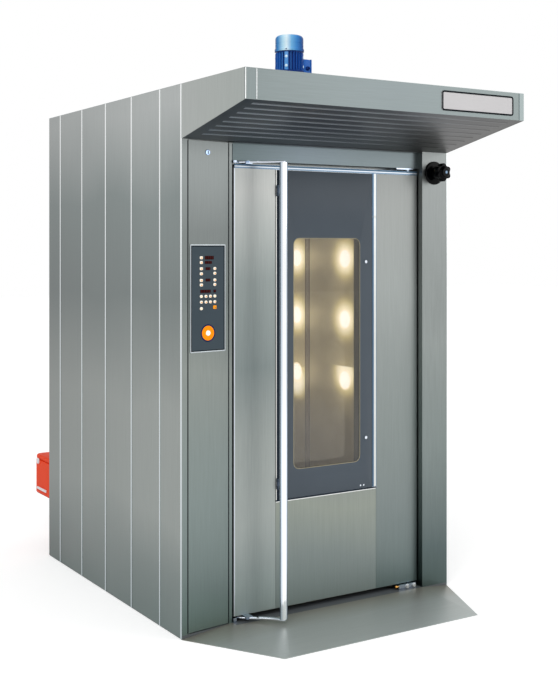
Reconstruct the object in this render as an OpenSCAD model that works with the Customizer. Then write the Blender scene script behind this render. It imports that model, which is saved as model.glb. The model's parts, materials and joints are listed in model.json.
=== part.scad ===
// Rotating rack oven: an insulated stainless cabinet that bakes one wheeled
// trolley, turning it on a hook that hangs from the roof.
// Origin: on the floor, on the axis that the trolley turns about.
// +Z is up, +Y runs from the door to the rear, +X to the right seen from the front.

/* [Cabinet] */
// Width of the door
door_w = 1000; // [800:10:1250]
// Width of the control column at the left of the door
column_w = 262; // [210:2:330]
// Width of the pillar at the right of the door
pillar_w = 150; // [125:1:190]
// Depth of the cabinet without hood, ramp and burner
cabinet_d = 1521; // [1250:1:1900]
// Height of the cabinet without the motor
cabinet_h = 2300; // [1900:10:2800]
// Thickness of the outer sheets
skin = 2; // [1.6:0.1:3]
// Distance from the cabinet's front to the first joint between side panels
seam_first = 203; // [160:1:250]
// Distance between the joints of the side panels
seam_pitch = 289; // [230:1:350]
// Width of the bright strip over each joint
seam_w = 10; // [6:1:14]
// Outer size of the square frame tubes
frame_tube = 30; // [25:1:32]

/* [Hood] */
// How far the hood stands out in front of the cabinet
hood_out = 518; // [420:1:640]
// Height of the hood's front face
fascia_h = 120; // [100:1:150]
// Height of the hood where it meets the cabinet
hood_root_h = 227; // [190:1:280]
// Number of ribs pressed into the hood's underside
hood_ribs = 8; // [5:1:10]
// Width of the blank plate on the hood
plate_w = 405; // [320:1:490]
// Height of the blank plate on the hood
plate_h = 85; // [70:1:92]

/* [Door] */
// Distance that the door lies behind the cabinet's front
door_recess = 35; // [28:1:42]
// Thickness of the door without its seal
door_t = 65; // [55:1:78]
// Height of the door's lower edge above the floor
door_z0 = 41; // [40:1:49]
// Height of the band above the door, up to the roof
lintel_h = 305; // [295:1:360]
// Gap at each side of the door
door_gap = 6; // [5:0.5:8]
// Width of the clear window
window_w = 362; // [300:1:420]
// Height of the window's lower edge
window_z0 = 640; // [560:1:760]
// Distance from the door's top to the window's top
window_drop = 318; // [265:1:380]
// Width of the middle part of the door, between its two bright profiles
middle_w = 524; // [480:1:560]
// Height of the lower edge of the outer glass
glass_z0 = 516; // [450:1:540]
// Radius of the door's hinge pins
hinge_r = 8; // [7:0.5:9]

/* [Handle] */
// Width of the handle bar
bar_w = 36; // [30:1:42]
// Thickness of the handle bar
bar_t = 22; // [18:1:26]
// Distance of the bar in front of the door
bar_out = 127; // [106:1:150]
// Radius of the handle's pivot pins
handle_pin_r = 5; // [4:0.5:6]

/* [Baking chamber] */
// Width that the chamber has beyond the door's width
chamber_extra = 40; // [20:1:44]
// Depth of the space for fan and heat exchanger behind the chamber
plenum_d = 248; // [236:1:298]
// Height of the chamber floor above the room's floor
floor_z = 18; // [17:1:21]
// Thickness of the ceiling and roof together
roof_t = 290; // [285:1:300]
// Diameter of the shaft that turns the trolley
spindle_d = 40; // [34:1:48]
// Length of the bar that carries the trolley's hooks
hook_span = 520; // [430:1:620]
// Vertical distance between the wall lamps
lamp_pitch = 316; // [260:1:380]
// Radius of each wall lamp's glass
lamp_r = 45; // [38:1:50]

/* [Drive on the roof] */
// Distance of the motor in front of the trolley's axis
drive_offset = 275; // [250:1:330]
// Diameter of the large pulley on the trolley's shaft
big_pulley_d = 200; // [170:1:230]
// Diameter of the small pulley under the gearbox
small_pulley_d = 80; // [68:1:96]
// Diameter of the motor's fan cowl
motor_d = 140; // [118:1:160]
// Height of the motor's finned body
motor_body_h = 99; // [84:1:119]
// Height of the motor's fan cowl
cowl_h = 78; // [66:1:94]

/* [Burner] */
// Distance of the burner's axis from the cabinet's left face
burner_in = 205; // [190:1:220]
// Height of the burner's axis
burner_z = 371; // [310:1:440]
// Width of the burner's cover
burner_w = 310; // [260:1:340]
// Height of the burner's cover
burner_h = 211; // [176:1:250]
// Length of the burner's cover
burner_l = 347; // [290:1:410]

/* [Circulation fan] */
// Diameter of the fan wheel
fan_d = 400; // [330:1:480]
// Distance of the fan's axis below the roof
fan_drop = 800; // [700:1:900]
// Number of fan blades
fan_blades = 10; // [8:1:14]

/* [Controls] */
// Width of the keypad
keypad_w = 182; // [160:1:186]
// Height of the keypad
keypad_h = 451; // [430:1:520]
// Distance of the keypad's top below the roof
keypad_drop = 666; // [560:1:790]
// Radius of the start button
button_r = 11; // [9:0.5:13]
// How far the start button travels
button_travel = 4; // [3:0.5:5]

/* [Steam outlet] */
// Outer radius of the steam pipe
steam_r = 45; // [38:1:46]
// Distance of the damper's knob below the roof
knob_drop = 325; // [300:1:360]
// Radius of the damper's rod
knob_rod_r = 6; // [5:0.5:7]

/* [Ramp] */
// Length of the ramp in front of the cabinet
ramp_l = 410; // [340:1:500]
// Distance from the ramp's front left corner to the cabinet's left face
ramp_in_left = 245; // [200:1:300]
// Distance from the ramp's front right corner to the cabinet's right face
ramp_in_right = 172; // [140:1:210]

/* [Hidden] */
$fn = 48;

// Clearances
run_gap = 0.05;      // radial, between a shaft and its bore
near_gap = 0.3;      // between curved or sliding neighbours
sheet_gap = 0.1;     // between the sheets of one node, so that each stays a sheet
lap_gap = 1;         // between two sheets in one plane
face_gap = 0.02;     // between large faces on the turned column
big = 4000;          // larger than anything here

// Sheets and slabs
slab_t = floor_z - skin;
wall_z0 = 3;         // the claddings end just above the floor
z_roof = cabinet_h - skin;

// Across the cabinet
x_in = door_w / 2 + door_gap;
x_left = -(x_in + column_w);
x_right = x_in + pillar_w;
x_door = door_w / 2;
x_chamber = (door_w + chamber_extra) / 2;
x_liner = x_chamber + skin;
x_frame_left = x_left + skin;
x_frame_right = x_right - skin;
cabinet_w = x_right - x_left;

// From front to rear. The trolley's axis is at the middle of the chamber.
seal_t = 8;
rear_wall = 81;
front_zone = door_recess + door_t + seal_t;
chamber_d = cabinet_d - front_zone - plenum_d - rear_wall;
y_front = -(front_zone + chamber_d / 2);
y_door = y_front + door_recess;
y_seal = -chamber_d / 2;
y_baffle = chamber_d / 2;
y_plenum = y_baffle + plenum_d;
y_rear = y_front + cabinet_d;
y_clad_rear = y_rear - skin;
y_hood = y_front - hood_out;
surround_d = 30;
y_chamber = y_seal + surround_d;

// Heights
z_lintel = cabinet_h - lintel_h;
z_door = z_lintel - 14;
z_ceiling = cabinet_h - roof_t;
z_head = z_door - 36;
z_fascia = cabinet_h - fascia_h;
z_hood_root = cabinet_h - hood_root_h;

// Doorway
jamb_left = -x_door + 40;
jamb_right = x_door - 80;

// Control column: its face turns in by the door's recess
column_turn = atan(door_recess / column_w);
face_l = norm([column_w, door_recess]);
corner_u = 30;
cover_u0 = corner_u + 4;
cover_u1 = face_l - 24;
cover_mid = (cover_u0 + cover_u1) / 2;
cover_z0 = slab_t + 4;
cover_z1 = z_hood_root - 3;
cover_deep = 20;
cover_pin = [cover_u0 + 5, 5];
cover_pin_r = 2.5;
column_deep = 200;
y_column = y_front + column_deep;
cam_z = z_hood_root - 51;
lock_r = 10;

// Door parts
door_box_left = -x_door + 8;
door_box_right = x_door - 55;
y_box = y_door + skin;
y_back = y_door + door_t;
middle_x0 = -x_door + 221;
middle_x1 = middle_x0 + middle_w;
window_mid = (middle_x0 + middle_x1) / 2;
window_lap = 15;
window_z1 = z_door - window_drop;
hole_x = [window_mid - window_w / 2 - window_lap, window_mid + window_w / 2 + window_lap];
hole_z = [window_z0 - 20, window_z1 + 20];
door_pivot = [x_door - 43, y_door + 15];
top_rail_h = 18;
profile_w = 26;
profile_out = 6;
leaf_x = [middle_x0 + 7, middle_x1 - 12];
leaf_y = [y_box - 6, y_box - near_gap];
leaf_axis = [leaf_x[0] - 9, leaf_y[0] - 3.3];

// Handle
bar_x = -x_door + 172;
bar_y = y_door - bar_out;
handle_pivot = [-x_door + 57, y_door - 20];
tongue_tip = [-x_door + 25, y_door + 10];
lever_elbow = [-x_door + 135, y_door - 72];
lever_t = 7;
lever_z0 = door_z0 - 5 - lever_t;
lever_z1 = z_door + 4;

// Chamber fittings
fan_z = cabinet_h - fan_drop;
fan_r = fan_d / 2;
lamp_y = [-2, y_baffle - 84];
lamp_z = cabinet_h - 1054;
wall_seam_y = y_baffle - 190;
wall_seam_z = cabinet_h - 1315;
duct_w = 38;

// Heat exchanger
drum_r = 120;
drum_c = [x_left + burner_in, y_baffle + (plenum_d + skin) / 2];
drum_h = fan_z - fan_r - 150;
tube_top = drum_h - 60;
tube_pitch = 110;
tube_r = 28;
collector_x = [330, 470];
flue_c = [400, drum_c[1] + 5];
flue_r = 75;
burner_tube_r = 60;
plenum_left = x_left + 70;

// Drive
belt_z = [cabinet_h + 33, cabinet_h + 53];
belt_t = 5;
bracket_z = cabinet_h + 64;
gearbox_z = bracket_z + 8;
gearbox_h = 70;
motor_z = gearbox_z + gearbox_h + 10;
drive_c = [0, -drive_offset];

// Steam outlet
knob_c = [(x_in + x_right) / 2 - 4, cabinet_h - knob_drop];
steam_c = [knob_c[0], y_front + column_deep];
steam_wall = 3;
steam_top = cabinet_h + 85;
steam_port_z = knob_c[1] - 90;
knob_out = 93;

// ---------- shared shapes ----------

// A box given by its lowest and highest value along each axis
module block(x, y, z) {
    translate([x[0], y[0], z[0]])
        cube([x[1] - x[0], y[1] - y[0], z[1] - z[0]]);
}

// Round rods along each axis; c holds the other two coordinates
module rod_z(c, r, z) {
    translate([c[0], c[1], z[0]]) cylinder(r = r, h = z[1] - z[0]);
}

module rod_y(c, r, y) {
    translate([c[0], y[0], c[1]]) rotate([-90, 0, 0]) cylinder(r = r, h = y[1] - y[0]);
}

module rod_x(c, r, x) {
    translate([x[0], c[0], c[1]]) rotate([0, 90, 0]) cylinder(r = r, h = x[1] - x[0]);
}

module tube_z(c, outer, inner, z) {
    difference() {
        rod_z(c, outer, z);
        rod_z(c, inner, [z[0] - 1, z[1] + 1]);
    }
}

// A hexagonal bolt head standing on its face
module hex_head(r, h) {
    cylinder(r = r, h = h, $fn = 6);
}

// A flat bar with round ends between two points
module strap(a, b, w) {
    run = b - a;
    translate(a) circle(d = w);
    translate(b) circle(d = w);
    translate(a) rotate(atan2(run[1], run[0])) translate([0, -w / 2]) square([norm(run), w]);
}

// A rectangle with round corners, centred
module rounded(w, h, r) {
    square([w - 2 * r, h], center = true);
    square([w, h - 2 * r], center = true);
    for (i = [-1, 1], j = [-1, 1])
        translate([i * (w / 2 - r), j * (h / 2 - r)]) circle(r = r);
}

// Four strips around a rectangular hole, in the plane of the door
module around(x, y, z, hole_x, hole_z) {
    inner_x = [hole_x[0] + sheet_gap, hole_x[1] - sheet_gap];
    block([x[0], hole_x[0]], y, z);
    block([hole_x[1], x[1]], y, z);
    block(inner_x, y, [z[0], hole_z[0]]);
    block(inner_x, y, [hole_z[1], z[1]]);
}

// Children are placed on the control column's face: x along it, y into it
module on_column() {
    translate([x_left, y_front, 0]) rotate([0, 0, column_turn]) children();
}

// ---------- cabinet ----------

// Insulated floor slab that the whole oven stands on
module base_slab() {
    color("dimgray") linear_extrude(slab_t) polygon([
        [x_frame_left, y_front + 0.5], [-x_in, y_door], [-x_in, y_front],
        [x_frame_right, y_front],
        [x_frame_right, y_clad_rear], [x_frame_left, y_clad_rear]]);
}

post_y = [y_front + seam_first - 10, -frame_tube / 2, y_clad_rear - frame_tube];
rail_z = [100, cabinet_h / 2, z_roof - frame_tube];
post_x = [x_frame_left, -280, 280, x_frame_right - frame_tube];

// Welded frame of square tubes behind the cladding
module frame_posts() {
    color("gray") {
        for (x = [x_frame_left, x_frame_right - frame_tube]) {
            for (y = post_y)
                block([x, x + frame_tube], [y, y + frame_tube], [slab_t, z_roof]);
            for (i = [0, 1], z = rail_z)
                block([x, x + frame_tube],
                    [post_y[i] + frame_tube + sheet_gap, post_y[i + 1] - sheet_gap],
                    [z, z + frame_tube]);
        }
        for (x = [post_x[1], post_x[2]])
            block([x, x + frame_tube], [post_y[2], y_clad_rear], [slab_t, z_roof]);
        for (i = [0, 1, 2], z = rail_z)
            block([post_x[i] + frame_tube + sheet_gap, post_x[i + 1] - sheet_gap],
                [post_y[2], y_clad_rear], [z, z + frame_tube]);
    }
}

seam_y = [for (y = seam_first; y < cabinet_d - seam_pitch / 4; y = y + seam_pitch) y_front + y];
panel_y = concat([y_front], seam_y, [y_rear]);

// Side wall of upright panels, butted under the joint strips
module side_panels(x) {
    for (i = [0 : len(panel_y) - 2])
        block([x, x + skin], [panel_y[i], panel_y[i + 1] - lap_gap], [wall_z0, z_roof]);
}

module left_cladding() {
    color("lightslategray") side_panels(x_left);
}

module right_cladding() {
    color("lightslategray") side_panels(x_right - skin);
}

rear_panels = 5;
rear_pitch = (cabinet_w - 2 * skin) / rear_panels;
rear_seam_x = [for (i = [1 : rear_panels - 1]) x_frame_left + i * rear_pitch];

module rear_cladding() {
    color("lightslategray") difference() {
        for (i = [0 : rear_panels - 1])
            block([x_frame_left + i * rear_pitch, x_frame_left + (i + 1) * rear_pitch - lap_gap],
                [y_clad_rear, y_rear], [wall_z0, z_roof]);
        rod_y([drum_c[0], burner_z], burner_tube_r + near_gap, [y_clad_rear - 1, y_rear + 1]);
        rod_y([0, fan_z], 20, [y_clad_rear - 1, y_rear + 1]);
    }
}

module roof_cladding() {
    color("silver") difference() {
        block([x_left, x_right], [y_front, y_rear], [z_roof, cabinet_h]);
        rod_z([0, 0], spindle_d / 2 + 5, [z_roof - 1, cabinet_h + 1]);
        rod_z(steam_c, steam_r + near_gap, [z_roof - 1, cabinet_h + 1]);
        rod_z(flue_c, flue_r + near_gap, [z_roof - 1, cabinet_h + 1]);
    }
}

// Bright cover strips over the joints of the cladding and of the hood's front
module joint_strips() {
    strip_t = 1.5;
    strip_y = concat([y_front + seam_w / 2], seam_y);
    color("white") {
        for (y = strip_y) {
            block([x_left - strip_t, x_left], [y - seam_w / 2, y + seam_w / 2], [wall_z0, z_roof]);
            block([x_right, x_right + strip_t], [y - seam_w / 2, y + seam_w / 2],
                [wall_z0, z_roof]);
        }
        for (x = rear_seam_x)
            difference() {
                block([x - seam_w / 2, x + seam_w / 2], [y_rear, y_rear + strip_t],
                    [wall_z0, z_roof]);
                block([drum_c[0] - 101, drum_c[0] + 101], [y_rear - 1, y_rear + 5],
                    [burner_z - 101, burner_z + 101]);
                block([-101, 101], [y_rear - 1, y_rear + 5], [fan_z - 101, fan_z + 101]);
            }
        for (x = [x_left + 49, x_right - 29])
            block([x, x + 3], [y_hood - 1, y_hood], [z_fascia + 2, z_roof]);
    }
}

// Mineral wool between the lining and the cladding
module insulation() {
    in_left = x_frame_left + frame_tube;
    in_right = x_frame_right - frame_tube;
    side_y0 = y_column + skin + 10;
    right_y0 = steam_c[1] + steam_r + 15;
    color("khaki") {
        block([in_left, -x_liner - duct_w - skin], [side_y0, y_baffle], [slab_t, z_ceiling]);
        block([in_left, plenum_left - skin], [y_baffle, y_plenum], [slab_t, z_ceiling]);
        difference() {
            block([x_liner, in_right], [right_y0, y_plenum], [slab_t, z_ceiling]);
            for (y = lamp_y, i = [-1, 0, 1])
                rod_x([y, lamp_z + i * lamp_pitch], lamp_r + 6, [x_liner - 1, x_liner + 66]);
        }
        difference() {
            block([in_left, in_right], [y_plenum + skin, post_y[2]], [slab_t, z_ceiling]);
            rod_y([drum_c[0], burner_z], burner_tube_r + near_gap, [y_plenum, y_rear]);
            rod_y([0, fan_z], 20, [y_plenum, y_rear]);
        }
        difference() {
            block([in_left, in_right], [right_y0, post_y[2]],
                [z_ceiling + skin, z_roof - frame_tube]);
            rod_z([0, 0], spindle_d / 2 + 5, [z_ceiling, cabinet_h]);
            rod_z(flue_c, flue_r + near_gap, [z_ceiling, cabinet_h]);
        }
    }
}

// ---------- baking chamber ----------

// Stainless lining: floor, walls and ceiling
module chamber_lining() {
    slot_h = 150;
    slot_pitch = 190;
    slots = floor((z_ceiling - 400) / slot_pitch);
    color("silver") {
        block([-x_liner, x_liner], [y_seal, y_baffle], [slab_t, floor_z - sheet_gap]);
        difference() {
            block([-x_liner, -x_chamber], [y_chamber, y_baffle],
                [floor_z, z_ceiling - sheet_gap]);
            for (y = [-120, 0, 120], i = [0 : slots - 1])
                block([-x_liner - 1, -x_chamber + 1], [y, y + 12],
                    [250 + i * slot_pitch, 250 + i * slot_pitch + slot_h]);
        }
        block([-x_liner - duct_w - skin, -x_liner - duct_w],
            [y_column + skin, y_baffle], [slab_t, z_ceiling]);
        difference() {
            union() {
                block([x_chamber, x_liner], [y_chamber, wall_seam_y],
                    [wall_seam_z, z_ceiling - sheet_gap]);
                block([x_chamber, x_liner], [wall_seam_y + near_gap, y_baffle],
                    [floor_z, z_ceiling - sheet_gap]);
            }
            wall_holes();
        }
        difference() {
            block([x_chamber, x_liner], [y_chamber, wall_seam_y],
                [floor_z, wall_seam_z - near_gap]);
            wall_holes();
        }
        block([x_chamber - 1.5, x_chamber - sheet_gap], [wall_seam_y - 12, wall_seam_y + 12],
            [floor_z, z_ceiling - sheet_gap]);
        difference() {
            block([-x_liner, x_liner], [y_chamber, y_baffle], [z_ceiling, z_ceiling + skin]);
            rod_z([0, 0], spindle_d / 2 + 5, [z_ceiling - 1, z_ceiling + skin + 1]);
        }
    }
}

// Holes in the right wall for the lamps and the steam outlet
module wall_holes() {
    for (y = lamp_y, i = [-1, 0, 1])
        rod_x([y, lamp_z + i * lamp_pitch], lamp_r + near_gap, [x_chamber - 1, x_liner + 1]);
    rod_x([steam_c[1], steam_port_z], 30 + near_gap, [x_chamber - 1, x_liner + 1]);
}

// Baffle between chamber and plenum with the fan's inlet, and the plenum's outer sheets
module chamber_baffle() {
    color("lightgray") {
        difference() {
            block([plenum_left - skin, x_liner], [y_baffle, y_baffle + skin],
                [floor_z, z_ceiling]);
            rod_y([0, fan_z], fan_r * 0.7, [y_baffle - 1, y_baffle + skin + 1]);
            block([-x_liner - duct_w + 2, -x_liner - 2], [y_baffle - 1, y_baffle + skin + 1],
                [250, z_ceiling - 200]);
        }
        difference() {
            block([plenum_left - skin, x_liner], [y_plenum, y_plenum + skin],
                [slab_t, z_ceiling]);
            rod_y([drum_c[0], burner_z], burner_tube_r + near_gap, [y_plenum - 1, y_rear]);
            rod_y([0, fan_z], 20, [y_plenum - 1, y_rear]);
        }
        block([plenum_left - skin, plenum_left],
            [y_baffle + skin + sheet_gap, y_plenum - sheet_gap], [slab_t, z_ceiling]);
    }
}

// Jambs and head of the doorway, which the door seals against
module door_surround() {
    color("silver") {
        block([-x_liner, jamb_left], [y_seal, y_chamber], [floor_z, z_ceiling]);
        block([jamb_right, x_liner], [y_seal, y_chamber], [floor_z, z_ceiling]);
        block([jamb_left + sheet_gap, jamb_right - sheet_gap], [y_seal, y_chamber],
            [z_head, z_ceiling]);
    }
}

// Panel above the door, with its lower return
module lintel() {
    color("darkseagreen") {
        block([-x_in, x_in], [y_door, y_door + skin], [z_lintel, z_roof]);
        block([-x_in, x_in], [y_door + skin + sheet_gap, y_seal], [z_lintel, z_lintel + skin]);
    }
}

module right_pillar() {
    color("darkgray") {
        difference() {
            block([x_in, x_right - skin], [y_front, y_front + skin], [slab_t, z_roof]);
            rod_y(knob_c, knob_rod_r + 1, [y_front - 1, y_front + skin + 1]);
        }
        block([x_in, x_in + skin], [y_front + skin + sheet_gap, y_seal], [slab_t, z_roof]);
    }
}

// Fixed parts of the control column: corner post, stile, top bar, pins and inner sheets
module column_frame() {
    bar_z = [z_hood_root - 1.5, z_hood_root + 10.5];
    inner_x = [-x_liner - duct_w - skin, -x_liner - duct_w];
    color("darkgray") {
        intersection() {
            on_column() block([0, corner_u], [0, cover_deep], [slab_t, z_hood_root]);
            block([x_frame_left, x_in], [y_front - 1, y_seal], [-1, cabinet_h]);
        }
        intersection() {
            on_column() block([face_l - 20, face_l], [0, cover_deep], [slab_t, z_hood_root]);
            block([x_left, -x_in - skin - sheet_gap], [y_front, y_seal], [-1, cabinet_h]);
        }
        on_column() rod_z(cover_pin, cover_pin_r, [slab_t, cover_z0 + 6]);
        on_column() block([corner_u + 1, face_l - 21], [1, 22], bar_z);
        on_column() rod_z(cover_pin, cover_pin_r, [cover_z1 - 6, bar_z[0] - sheet_gap]);
        block([x_frame_left, -x_in - skin], [y_front, y_front + 0.8],
            [z_hood_root + sheet_gap, z_roof]);
        block([-x_in - skin, -x_in], [y_door, y_seal], [slab_t, z_roof]);
        block([x_frame_left + frame_tube, inner_x[0] - sheet_gap],
            [y_column, y_column + skin], [slab_t, z_ceiling]);
        block(inner_x, [y_seal + skin + sheet_gap, y_column], [slab_t, z_ceiling]);
        block([inner_x[0], -x_liner - sheet_gap], [y_seal, y_seal + skin], [slab_t, z_ceiling]);
    }
}

// Mounting plate with contactors, transformer and terminals inside the column
module control_gear() {
    plate = [x_frame_left + frame_tube + 4, -x_liner - duct_w - 12];
    y_plate = y_column - 3;
    unit_w = 44;
    units = floor((plate[1] - plate[0] - 10) / unit_w);
    color("steelblue") {
        block(plate, [y_plate, y_column], [300, cabinet_h - 500]);
        for (z = [420, 640, 860], i = [0 : units - 1])
            block([plate[0] + 6 + i * unit_w, plate[0] + 2 + (i + 1) * unit_w],
                [y_plate - 78, y_plate], [z, z + 82]);
        block([plate[0] + 20, plate[1] - 20], [y_plate - 85, y_plate], [1080, 1170]);
        for (z = [1240, 1320])
            block([plate[0] + 6, plate[1] - 6], [y_plate - 45, y_plate], [z, z + 40]);
    }
}

// ---------- hood ----------

module hood_shell() {
    cheek = [[y_hood, z_fascia], [y_hood, z_roof], [y_front, z_roof], [y_front, z_hood_root]];
    color("lightslategray") {
        block([x_left, x_right], [y_hood, y_front], [z_roof + sheet_gap, cabinet_h]);
        for (x = [x_left, x_right - skin])
            translate([x, 0, 0]) rotate([90, 0, 90]) linear_extrude(skin) polygon(cheek);
        block([x_left + skin + sheet_gap, x_left + 50], [y_hood, y_hood + skin],
            [z_fascia, z_roof]);
        block([x_right - 28, x_right - skin - sheet_gap], [y_hood, y_hood + skin],
            [z_fascia, z_roof]);
    }
}

module hood_fascia() {
    color("lightslategray")
        block([x_left + 50 + lap_gap, x_right - 28 - lap_gap], [y_hood, y_hood + skin],
            [z_fascia, z_roof]);
}

// Sloping underside with pressed ribs, and the strip that closes it to the lintel
module hood_underside() {
    slope = atan((z_fascia - z_hood_root) / hood_out);
    run = (hood_out - skin - 1) / cos(slope);
    rib_h = 11;
    rib_from = 45;
    rib_to = run - 75;
    rib_step = (rib_to - rib_from) / (hood_ribs - 1);
    rib_x = [x_left + 70, x_right - 70];
    color("darkslategray") {
        translate([0, y_hood + skin, z_fascia]) rotate([-slope, 0, 0]) {
            block([x_frame_left, x_frame_right], [0, run], [0, skin]);
            for (i = [0 : hood_ribs - 1])
                translate([rib_x[0], rib_from + i * rib_step, 0]) rotate([90, 0, 90])
                    linear_extrude(rib_x[1] - rib_x[0])
                        polygon([[-16, 0], [-6, -rib_h], [6, -rib_h], [16, 0]]);
        }
        block([-x_in, x_in], [y_front + skin, y_door], [z_hood_root - skin, z_hood_root]);
    }
}

// Blank plate with a raised rim on the hood's front
module hood_plate() {
    rim = 4;
    color("whitesmoke")
        translate([x_right - 64 - plate_w / 2, y_hood, z_fascia + 17 + plate_h / 2])
            rotate([90, 0, 0]) difference() {
                linear_extrude(3) rounded(plate_w, plate_h, 10);
                translate([0, 0, 2]) linear_extrude(2)
                    rounded(plate_w - 2 * rim, plate_h - 2 * rim, 10 - rim);
            }
}

// ---------- front fittings ----------

bracket_x = [door_pivot[0] - 75, door_pivot[0] + 25];
bracket_low_z = [slab_t, door_z0 - 3];
bracket_y = [door_pivot[1] - 32, door_pivot[1] + 18];

// Lower and upper hinge brackets with their pins
module hinge_brackets() {
    color("silver") {
        block(bracket_x, bracket_y, bracket_low_z);
        rod_z(door_pivot, hinge_r, [bracket_low_z[1], door_z0 + 30]);
        block(bracket_x, [y_door + skin, y_door + 55], [z_lintel - 6, z_lintel]);
        rod_z(door_pivot, hinge_r, [z_door - 32, z_lintel - 6]);
    }
}

// Bolt heads on the hinge bracket, the roof drive, the fan motor and the burner flange
module hex_bolts() {
    color("silver") {
        for (x = [bracket_x[0] + 47, bracket_x[1] - 13])
            translate([x, bracket_y[0], bracket_low_z[1] - 11]) rotate([90, 0, 0]) hex_head(9, 7);
        for (i = [-1, 1], j = [-1, 1]) {
            translate([i * 58, j * 58, cabinet_h + 12]) hex_head(8, 6);
            translate([i * 74, drive_c[1] + j * 74, gearbox_z]) hex_head(7, 5);
            translate([i * 84, y_rear + 10, fan_z + j * 84]) rotate([-90, 0, 0]) hex_head(8, 6);
            translate([drum_c[0] + i * 84, y_rear + 12, burner_z + j * 84])
                rotate([-90, 0, 0]) hex_head(8, 6);
        }
    }
}

ramp_lip = 2;
ramp_front = y_front - ramp_l;
ramp_rear = y_front;

// Cuts away all above a plane that rises from the level line a-b to slab_t at c
module above_plane(a, b, c, side) {
    run = b - a;
    away = abs(run[0] * (c[1] - a[1]) - run[1] * (c[0] - a[0])) / norm(run);
    translate([a[0], a[1], ramp_lip]) rotate([0, 0, atan2(run[1], run[0])])
        rotate([side * atan((slab_t - ramp_lip) / away), 0, 0])
            translate([-big / 2, -big / 2, 0]) cube([big, big, big]);
}

// Sheet ramp with two sloping flanks
module entry_ramp() {
    front_left = [x_left + ramp_in_left, ramp_front];
    front_right = [x_right - ramp_in_right, ramp_front];
    rear_left = [x_left, ramp_rear - 0.5];
    rear_right = [x_right, ramp_rear];
    color("slategray") difference() {
        linear_extrude(slab_t) polygon([rear_left, front_left, front_right, rear_right,
            [-x_in, ramp_rear], [-x_in, y_door - 0.5]]);
        above_plane(front_left, front_right, [0, ramp_rear], 1);
        above_plane(rear_left, front_left, [-x_in, ramp_rear], 1);
        above_plane(rear_right, front_right, [x_in, ramp_rear], -1);
    }
}

// Roller keepers beside the latch tongues, below and above the door
module latch_keepers() {
    roller_r = 6;
    tongue_r = 8;
    roller = [tongue_tip[0] - tongue_r - 1.8 - roller_r, tongue_tip[1] - 7];
    color("silver") for (z = [[slab_t, door_z0 - 4], [z_door + 4, z_lintel]]) {
        rod_z(roller, roller_r, z);
        block([-x_in, roller[0]], [roller[1] - 12, roller[1] + 12], z);
    }
}

// ---------- chamber fittings ----------

module lamp_housings() {
    color("dimgray") for (y = lamp_y, i = [-1, 0, 1]) difference() {
        rod_x([y, lamp_z + i * lamp_pitch], lamp_r + 5, [x_liner, x_liner + 60]);
        rod_x([y, lamp_z + i * lamp_pitch], lamp_r + near_gap, [x_liner - 1, x_liner + 52]);
    }
}

module lamp_glasses() {
    color("moccasin") for (y = lamp_y, i = [-1, 0, 1])
        rod_x([y, lamp_z + i * lamp_pitch], lamp_r, [x_chamber - 2, x_liner + 4]);
}

// Shelves of iron bars that turn water into steam, with their water pipe
module steam_generator() {
    x = [-250, 290];
    y = [y_baffle + 30, y_baffle + 200];
    shelf_step = 90;
    shelf_t = 4;
    bar_r = 18;
    color("saddlebrown") {
        for (side = [x[0], x[1] - 5])
            block([side, side + 5], y, [slab_t, slab_t + 5 * shelf_step + 40]);
        for (i = [1 : 5]) {
            block([x[0] + 5, x[1] - 5], y,
                [slab_t + i * shelf_step - shelf_t, slab_t + i * shelf_step]);
            for (j = [0 : 3])
                rod_x([y[0] + 22 + j * 41, slab_t + i * shelf_step + bar_r],
                    bar_r, [x[0] + 8, x[1] - 8]);
        }
    }
    color("peru") block([x[0], x[1]], [y[0] + 70, y[0] + 90],
        [slab_t + 5 * shelf_step + 40, slab_t + 5 * shelf_step + 60]);
}

// Firebox drum, cross tubes and collector
module heat_exchanger() {
    rows = floor((tube_top - tube_r - 560) / tube_pitch) + 1;
    color("rosybrown") {
        difference() {
            union() {
                rod_z(drum_c, drum_r, [slab_t, drum_h]);
                for (i = [0 : rows - 1], y = [-48, 48])
                    rod_x([drum_c[1] + y, tube_top - tube_r - i * tube_pitch], tube_r,
                        [drum_c[0], collector_x[0]]);
                block(collector_x, [drum_c[1] - 90, drum_c[1] + 100],
                    [tube_top - 2 * tube_r - (rows - 1) * tube_pitch - 20, drum_h]);
            }
            rod_z(drum_c, drum_r - 4, [slab_t + 4, drum_h - 4]);
            rod_y([drum_c[0], burner_z], burner_tube_r + near_gap,
                [drum_c[1], drum_c[1] + drum_r + 1]);
        }
    }
}

// Flue from the collector through the roof, ending in a spigot for the chimney
module flue_pipe() {
    collar_z = cabinet_h + 20;
    color("gainsboro") difference() {
        union() {
            rod_z(flue_c, flue_r, [drum_h, collar_z]);
            rod_z(flue_c, flue_r - 2, [collar_z, cabinet_h + 260]);
        }
        rod_z(flue_c, flue_r - 4, [drum_h - 1, cabinet_h + 261]);
    }
}

// Blast tube with the flange that holds the burner on the rear wall
module burner_tube() {
    flange = [y_rear, y_rear + 12];
    color("gray") difference() {
        union() {
            rod_y([drum_c[0], burner_z], burner_tube_r, [drum_c[1] + drum_r - 15, flange[1]]);
            block([drum_c[0] - 100, drum_c[0] + 100], flange, [burner_z - 100, burner_z + 100]);
        }
        rod_y([drum_c[0], burner_z], burner_tube_r - 4, [drum_c[1], flange[1] + 1]);
    }
}

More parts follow.
